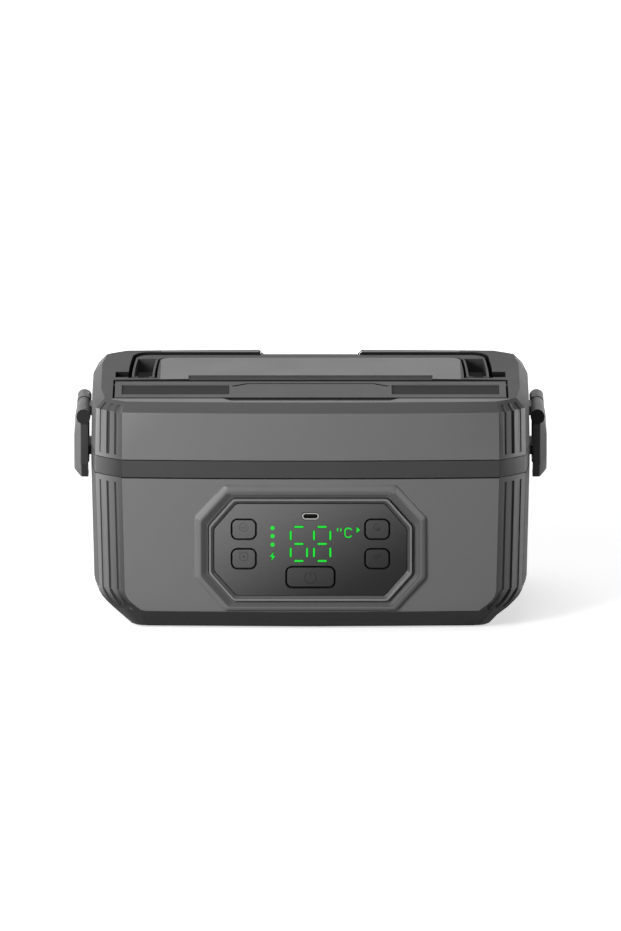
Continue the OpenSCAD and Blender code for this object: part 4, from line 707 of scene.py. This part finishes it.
# ---- Cutlery tray and handle well -------------------------------------------
# Two tubs in black ABS, welded under the lid's openings: the front one holds the cutlery,
# the back one takes the folded handle.

dress("cutlery_tray", "tray_tub", abs_black, 0.3, shortest_mm=0.9)
dress("handle_well", "handle_tub", abs_black, 0.3, shortest_mm=0.9)

# ---- Pins -------------------------------------------------------------------
# Turned steel pins, blackened, pressed into the lid's lugs and tubs. The latches, the
# handle and the cutlery cover turn on them.

pin_steel = moulded("blackened pin steel", grey(0.05), grey(0.07), 0.34, grain_mm=0.2,
                    depth_mm=0.002, patch_mm=5, metal=0.8)
finish_node(pin_steel, "latch_pins", "handle_pins", "cover_pins")

# ---- Carry handle -----------------------------------------------------------
# A bow in dark plastic that folds into the lid. Its arms are two thin ribs each with an open
# channel between them, and it turns on two pins.

abs_handle = moulded("dark ABS of the handle", grey(0.042), grey(0.050), 0.45, sheen_level=0.25)
dress("carry_handle", "handle_bow", abs_handle, 0.3, shortest_mm=0.9)

# ---- Cutlery cover ----------------------------------------------------------
# A flap in the dark plastic of the body over the cutlery tray, hinged along its back edge, with
# two thin grip pads of black rubber let into it and a bare field between them.

# The flap is painted darker than the body, as shade.
abs_flap_painted_shade = moulded("dark grey ABS of the flap in painted shade", grey(body_grey * 0.46), grey(body_grey * 0.50),
                   0.42, metal=0.1, sheen_level=0.12)
seam = 1
field_half, field_front, field_back, groove_top, barrel_depth = 42, -55, -17.5, 128.35, 3
bm = merged("cutlery_cover")
slant_edges(bm, 1.0, seam, flap_front - 1 * MM, flap_front + 0.5 * MM)
round_edges(bm, 0.4, 3, 50, 0.6)
# Painted shadow in the groove round the bare field and along the hinge barrel.
for face in bm.faces:
    place, way = face.calc_center_median() / MM, face.normal
    grooved = place.z < groove_top and 0.3 < way.z < 0.95 and (
        abs(place.x) < field_half and field_front < place.y < field_back)
    if place.z > top_foot and (grooved or place.y > flap_back / MM - barrel_depth):
        face.material_index = seam
stand_for(as_object(bm, "cutlery_flap"), (abs_flap_painted_shade, painted_shadow_black), "cutlery_cover")
pad_rubber = moulded("grip pad rubber", grey(0.034), grey(0.040), 0.75, grain_mm=0.5,
                     depth_mm=0.02, sheen_level=0.12)
dress("cover_pads", "grip_pads", pad_rubber, 0.35, 3)

# ---- Latches ----------------------------------------------------------------
# Two latches in dark plastic hang from steel pins on the lid's lugs and reach down to the
# catches on the rim.

abs_latch = moulded("dark ABS of the latches", grey(body_grey * 0.92), grey(body_grey * 0.98),
                    0.46, sheen_level=0.18)
abs_latch_end_painted_shade = moulded("dark ABS of the latch ends in painted shade", grey(0.022), grey(0.028), 0.5,
                        sheen_level=0.2)
barrel_foot = 106 * MM
end, barrel_end = range(1, 3)
for node, name in (("left_latch", "latch_left_plate"), ("right_latch", "latch_right_plate")):
    bm = merged(node)
    round_edges(bm, 0.4, angle=30, shortest_mm=0.9)
    # Painted shade on the end faces, and painted black shadow on the barrel's ends.
    for face in bm.faces:
        if abs(face.normal.y) > 0.8:
            on_barrel = face.calc_center_median().z > barrel_foot
            face.material_index = barrel_end if on_barrel else end
    stand_for(as_object(bm, name), (abs_latch, abs_latch_end_painted_shade, abs_black), node)

# ---- Floor and backdrop -----------------------------------------------------
# Plain white floor that keeps a soft shadow under the box and brightens to a white ground
# further out. Metal shows it white too, and it throws little light back up.

floor_half, shadow_from, shadow_to = 40, 0.2, 0.9  # metres
bm = bmesh.new()
bmesh.ops.create_grid(bm, x_segments=1, y_segments=1, size=floor_half)
floor = as_object(bm, "floor")
paper = moulded("white paper floor", grey(0.70), grey(0.72), 0.9, grain_mm=3, depth_mm=0.01,
                patch_mm=400)
tree, skin, place = wiring(paper)
skin.inputs["Emission Color"].default_value = (1, 1, 1, 1)
shade = add(tree, "BsdfDiffuse", {"Color": grey(0.12)})
seen = add(tree, "LightPath")
direct = add(tree, "Math", operation="MAXIMUM")
clear = add(tree, "Math", operation="MAXIMUM")
pick = add(tree, "MixShader")
away = add(tree, "VectorMath", operation="LENGTH")
fade = add(tree, "MapRange", {"From Min": shadow_from, "From Max": shadow_to, "To Min": 0.60,
                              "To Max": 1.0}, interpolation_type="SMOOTHSTEP")
links(tree, (seen.outputs["Is Camera Ray"], direct.inputs[0]),
      (seen.outputs["Is Glossy Ray"], direct.inputs[1]),
      (direct.outputs["Value"], clear.inputs[0]),
      (seen.outputs["Is Transmission Ray"], clear.inputs[1]),
      (place, away.inputs[0]),
      (away.outputs["Value"], fade.inputs["Value"]),
      (fade.outputs["Result"], skin.inputs["Emission Strength"]),
      (clear.outputs["Value"], pick.inputs["Fac"]),
      (shade.outputs["BSDF"], pick.inputs[1]),
      (skin.outputs["BSDF"], pick.inputs[2]),
      (pick.outputs["Shader"], tree.nodes["Material Output"].inputs["Surface"]))
floor.data.materials.append(paper)

# ---- Studio light -----------------------------------------------------------
# One soft box in front on the left, a larger one overhead, low boxes at both sides and the
# back, and a white room with a dim ceiling.


def soft_box(name, place, across, tall, watts):
    """A rectangular lamp that points at the middle of the box."""
    lamp = bpy.data.lights.new(name, "AREA")
    lamp.shape = "RECTANGLE"
    lamp.size = across
    lamp.size_y = tall
    lamp.energy = watts
    box = bpy.data.objects.new(name, lamp)
    box.location = place
    aim = Vector((0, 0, 0.06)) - Vector(place)
    box.rotation_euler = aim.to_track_quat("-Z", "Y").to_euler()
    bpy.context.scene.collection.objects.link(box)


soft_box("front soft box", (-0.62, -0.74, 0.40), 0.45, 0.45, 11.6)
soft_box("overhead soft box", (0, 0.1, 1.6), 0.8, 0.8, 7)
soft_box("right side box", (1.5, 0.05, 0.063), 0.3, 0.12, 8)
soft_box("left side box", (-1.5, 0.05, 0.063), 0.3, 0.12, 3.8)
soft_box("back box", (0, 1.5, 0.063), 0.5, 0.12, 9)

world = bpy.data.worlds.new("white room")
bpy.context.scene.world = world
world.use_nodes = True
tree = world.node_tree
sky = tree.nodes["Background"]
sky.inputs["Color"].default_value = (1, 1, 1, 1)
seen = add(tree, "LightPath")
way = add(tree, "TexCoord")
axes = add(tree, "SeparateXYZ")
wall = add(tree, "MapRange", {"From Min": 0.25, "From Max": 0.75, "To Min": 1.0, "To Max": 0.12},
           interpolation_type="SMOOTHSTEP")
level = add(tree, "Mix", {"A": 0.2})
lift = add(tree, "Math", operation="MAXIMUM")
clear = add(tree, "Math", operation="MAXIMUM")
links(tree, (seen.outputs["Is Camera Ray"], lift.inputs[0]),
      (seen.outputs["Is Glossy Ray"], lift.inputs[1]),
      (lift.outputs["Value"], clear.inputs[0]),
      (seen.outputs["Is Transmission Ray"], clear.inputs[1]),
      (way.outputs["Generated"], axes.inputs["Vector"]),
      (axes.outputs["Z"], wall.inputs["Value"]),
      (clear.outputs["Value"], level.inputs["Factor"]),
      (wall.outputs["Result"], level.inputs["B"]),
      (level.outputs["Result"], sky.inputs["Strength"]))

# ---- Camera -----------------------------------------------------------------
# A long lens ten metres away, twelve and a half degrees above the table, square to the
# front, so that the box shows with almost no perspective.

elevation = radians(12.5)
distance = 10.0
aim = Vector((0, -0.0764, 0.0948))
sensor_mm, picture_px, px_per_mm = 36, 621, 1.82
lens = bpy.data.cameras.new("camera")
lens.sensor_fit = "HORIZONTAL"
lens.sensor_width = sensor_mm
lens.lens = px_per_mm / MM * sensor_mm / picture_px * distance
camera = bpy.data.objects.new("camera", lens)
camera.location = aim + distance * Vector((0, -cos(elevation), sin(elevation)))
camera.rotation_euler = (pi / 2 - elevation, 0, 0)
bpy.context.scene.collection.objects.link(camera)
bpy.context.scene.camera = camera
bpy.context.scene.view_settings.view_transform = "Standard"
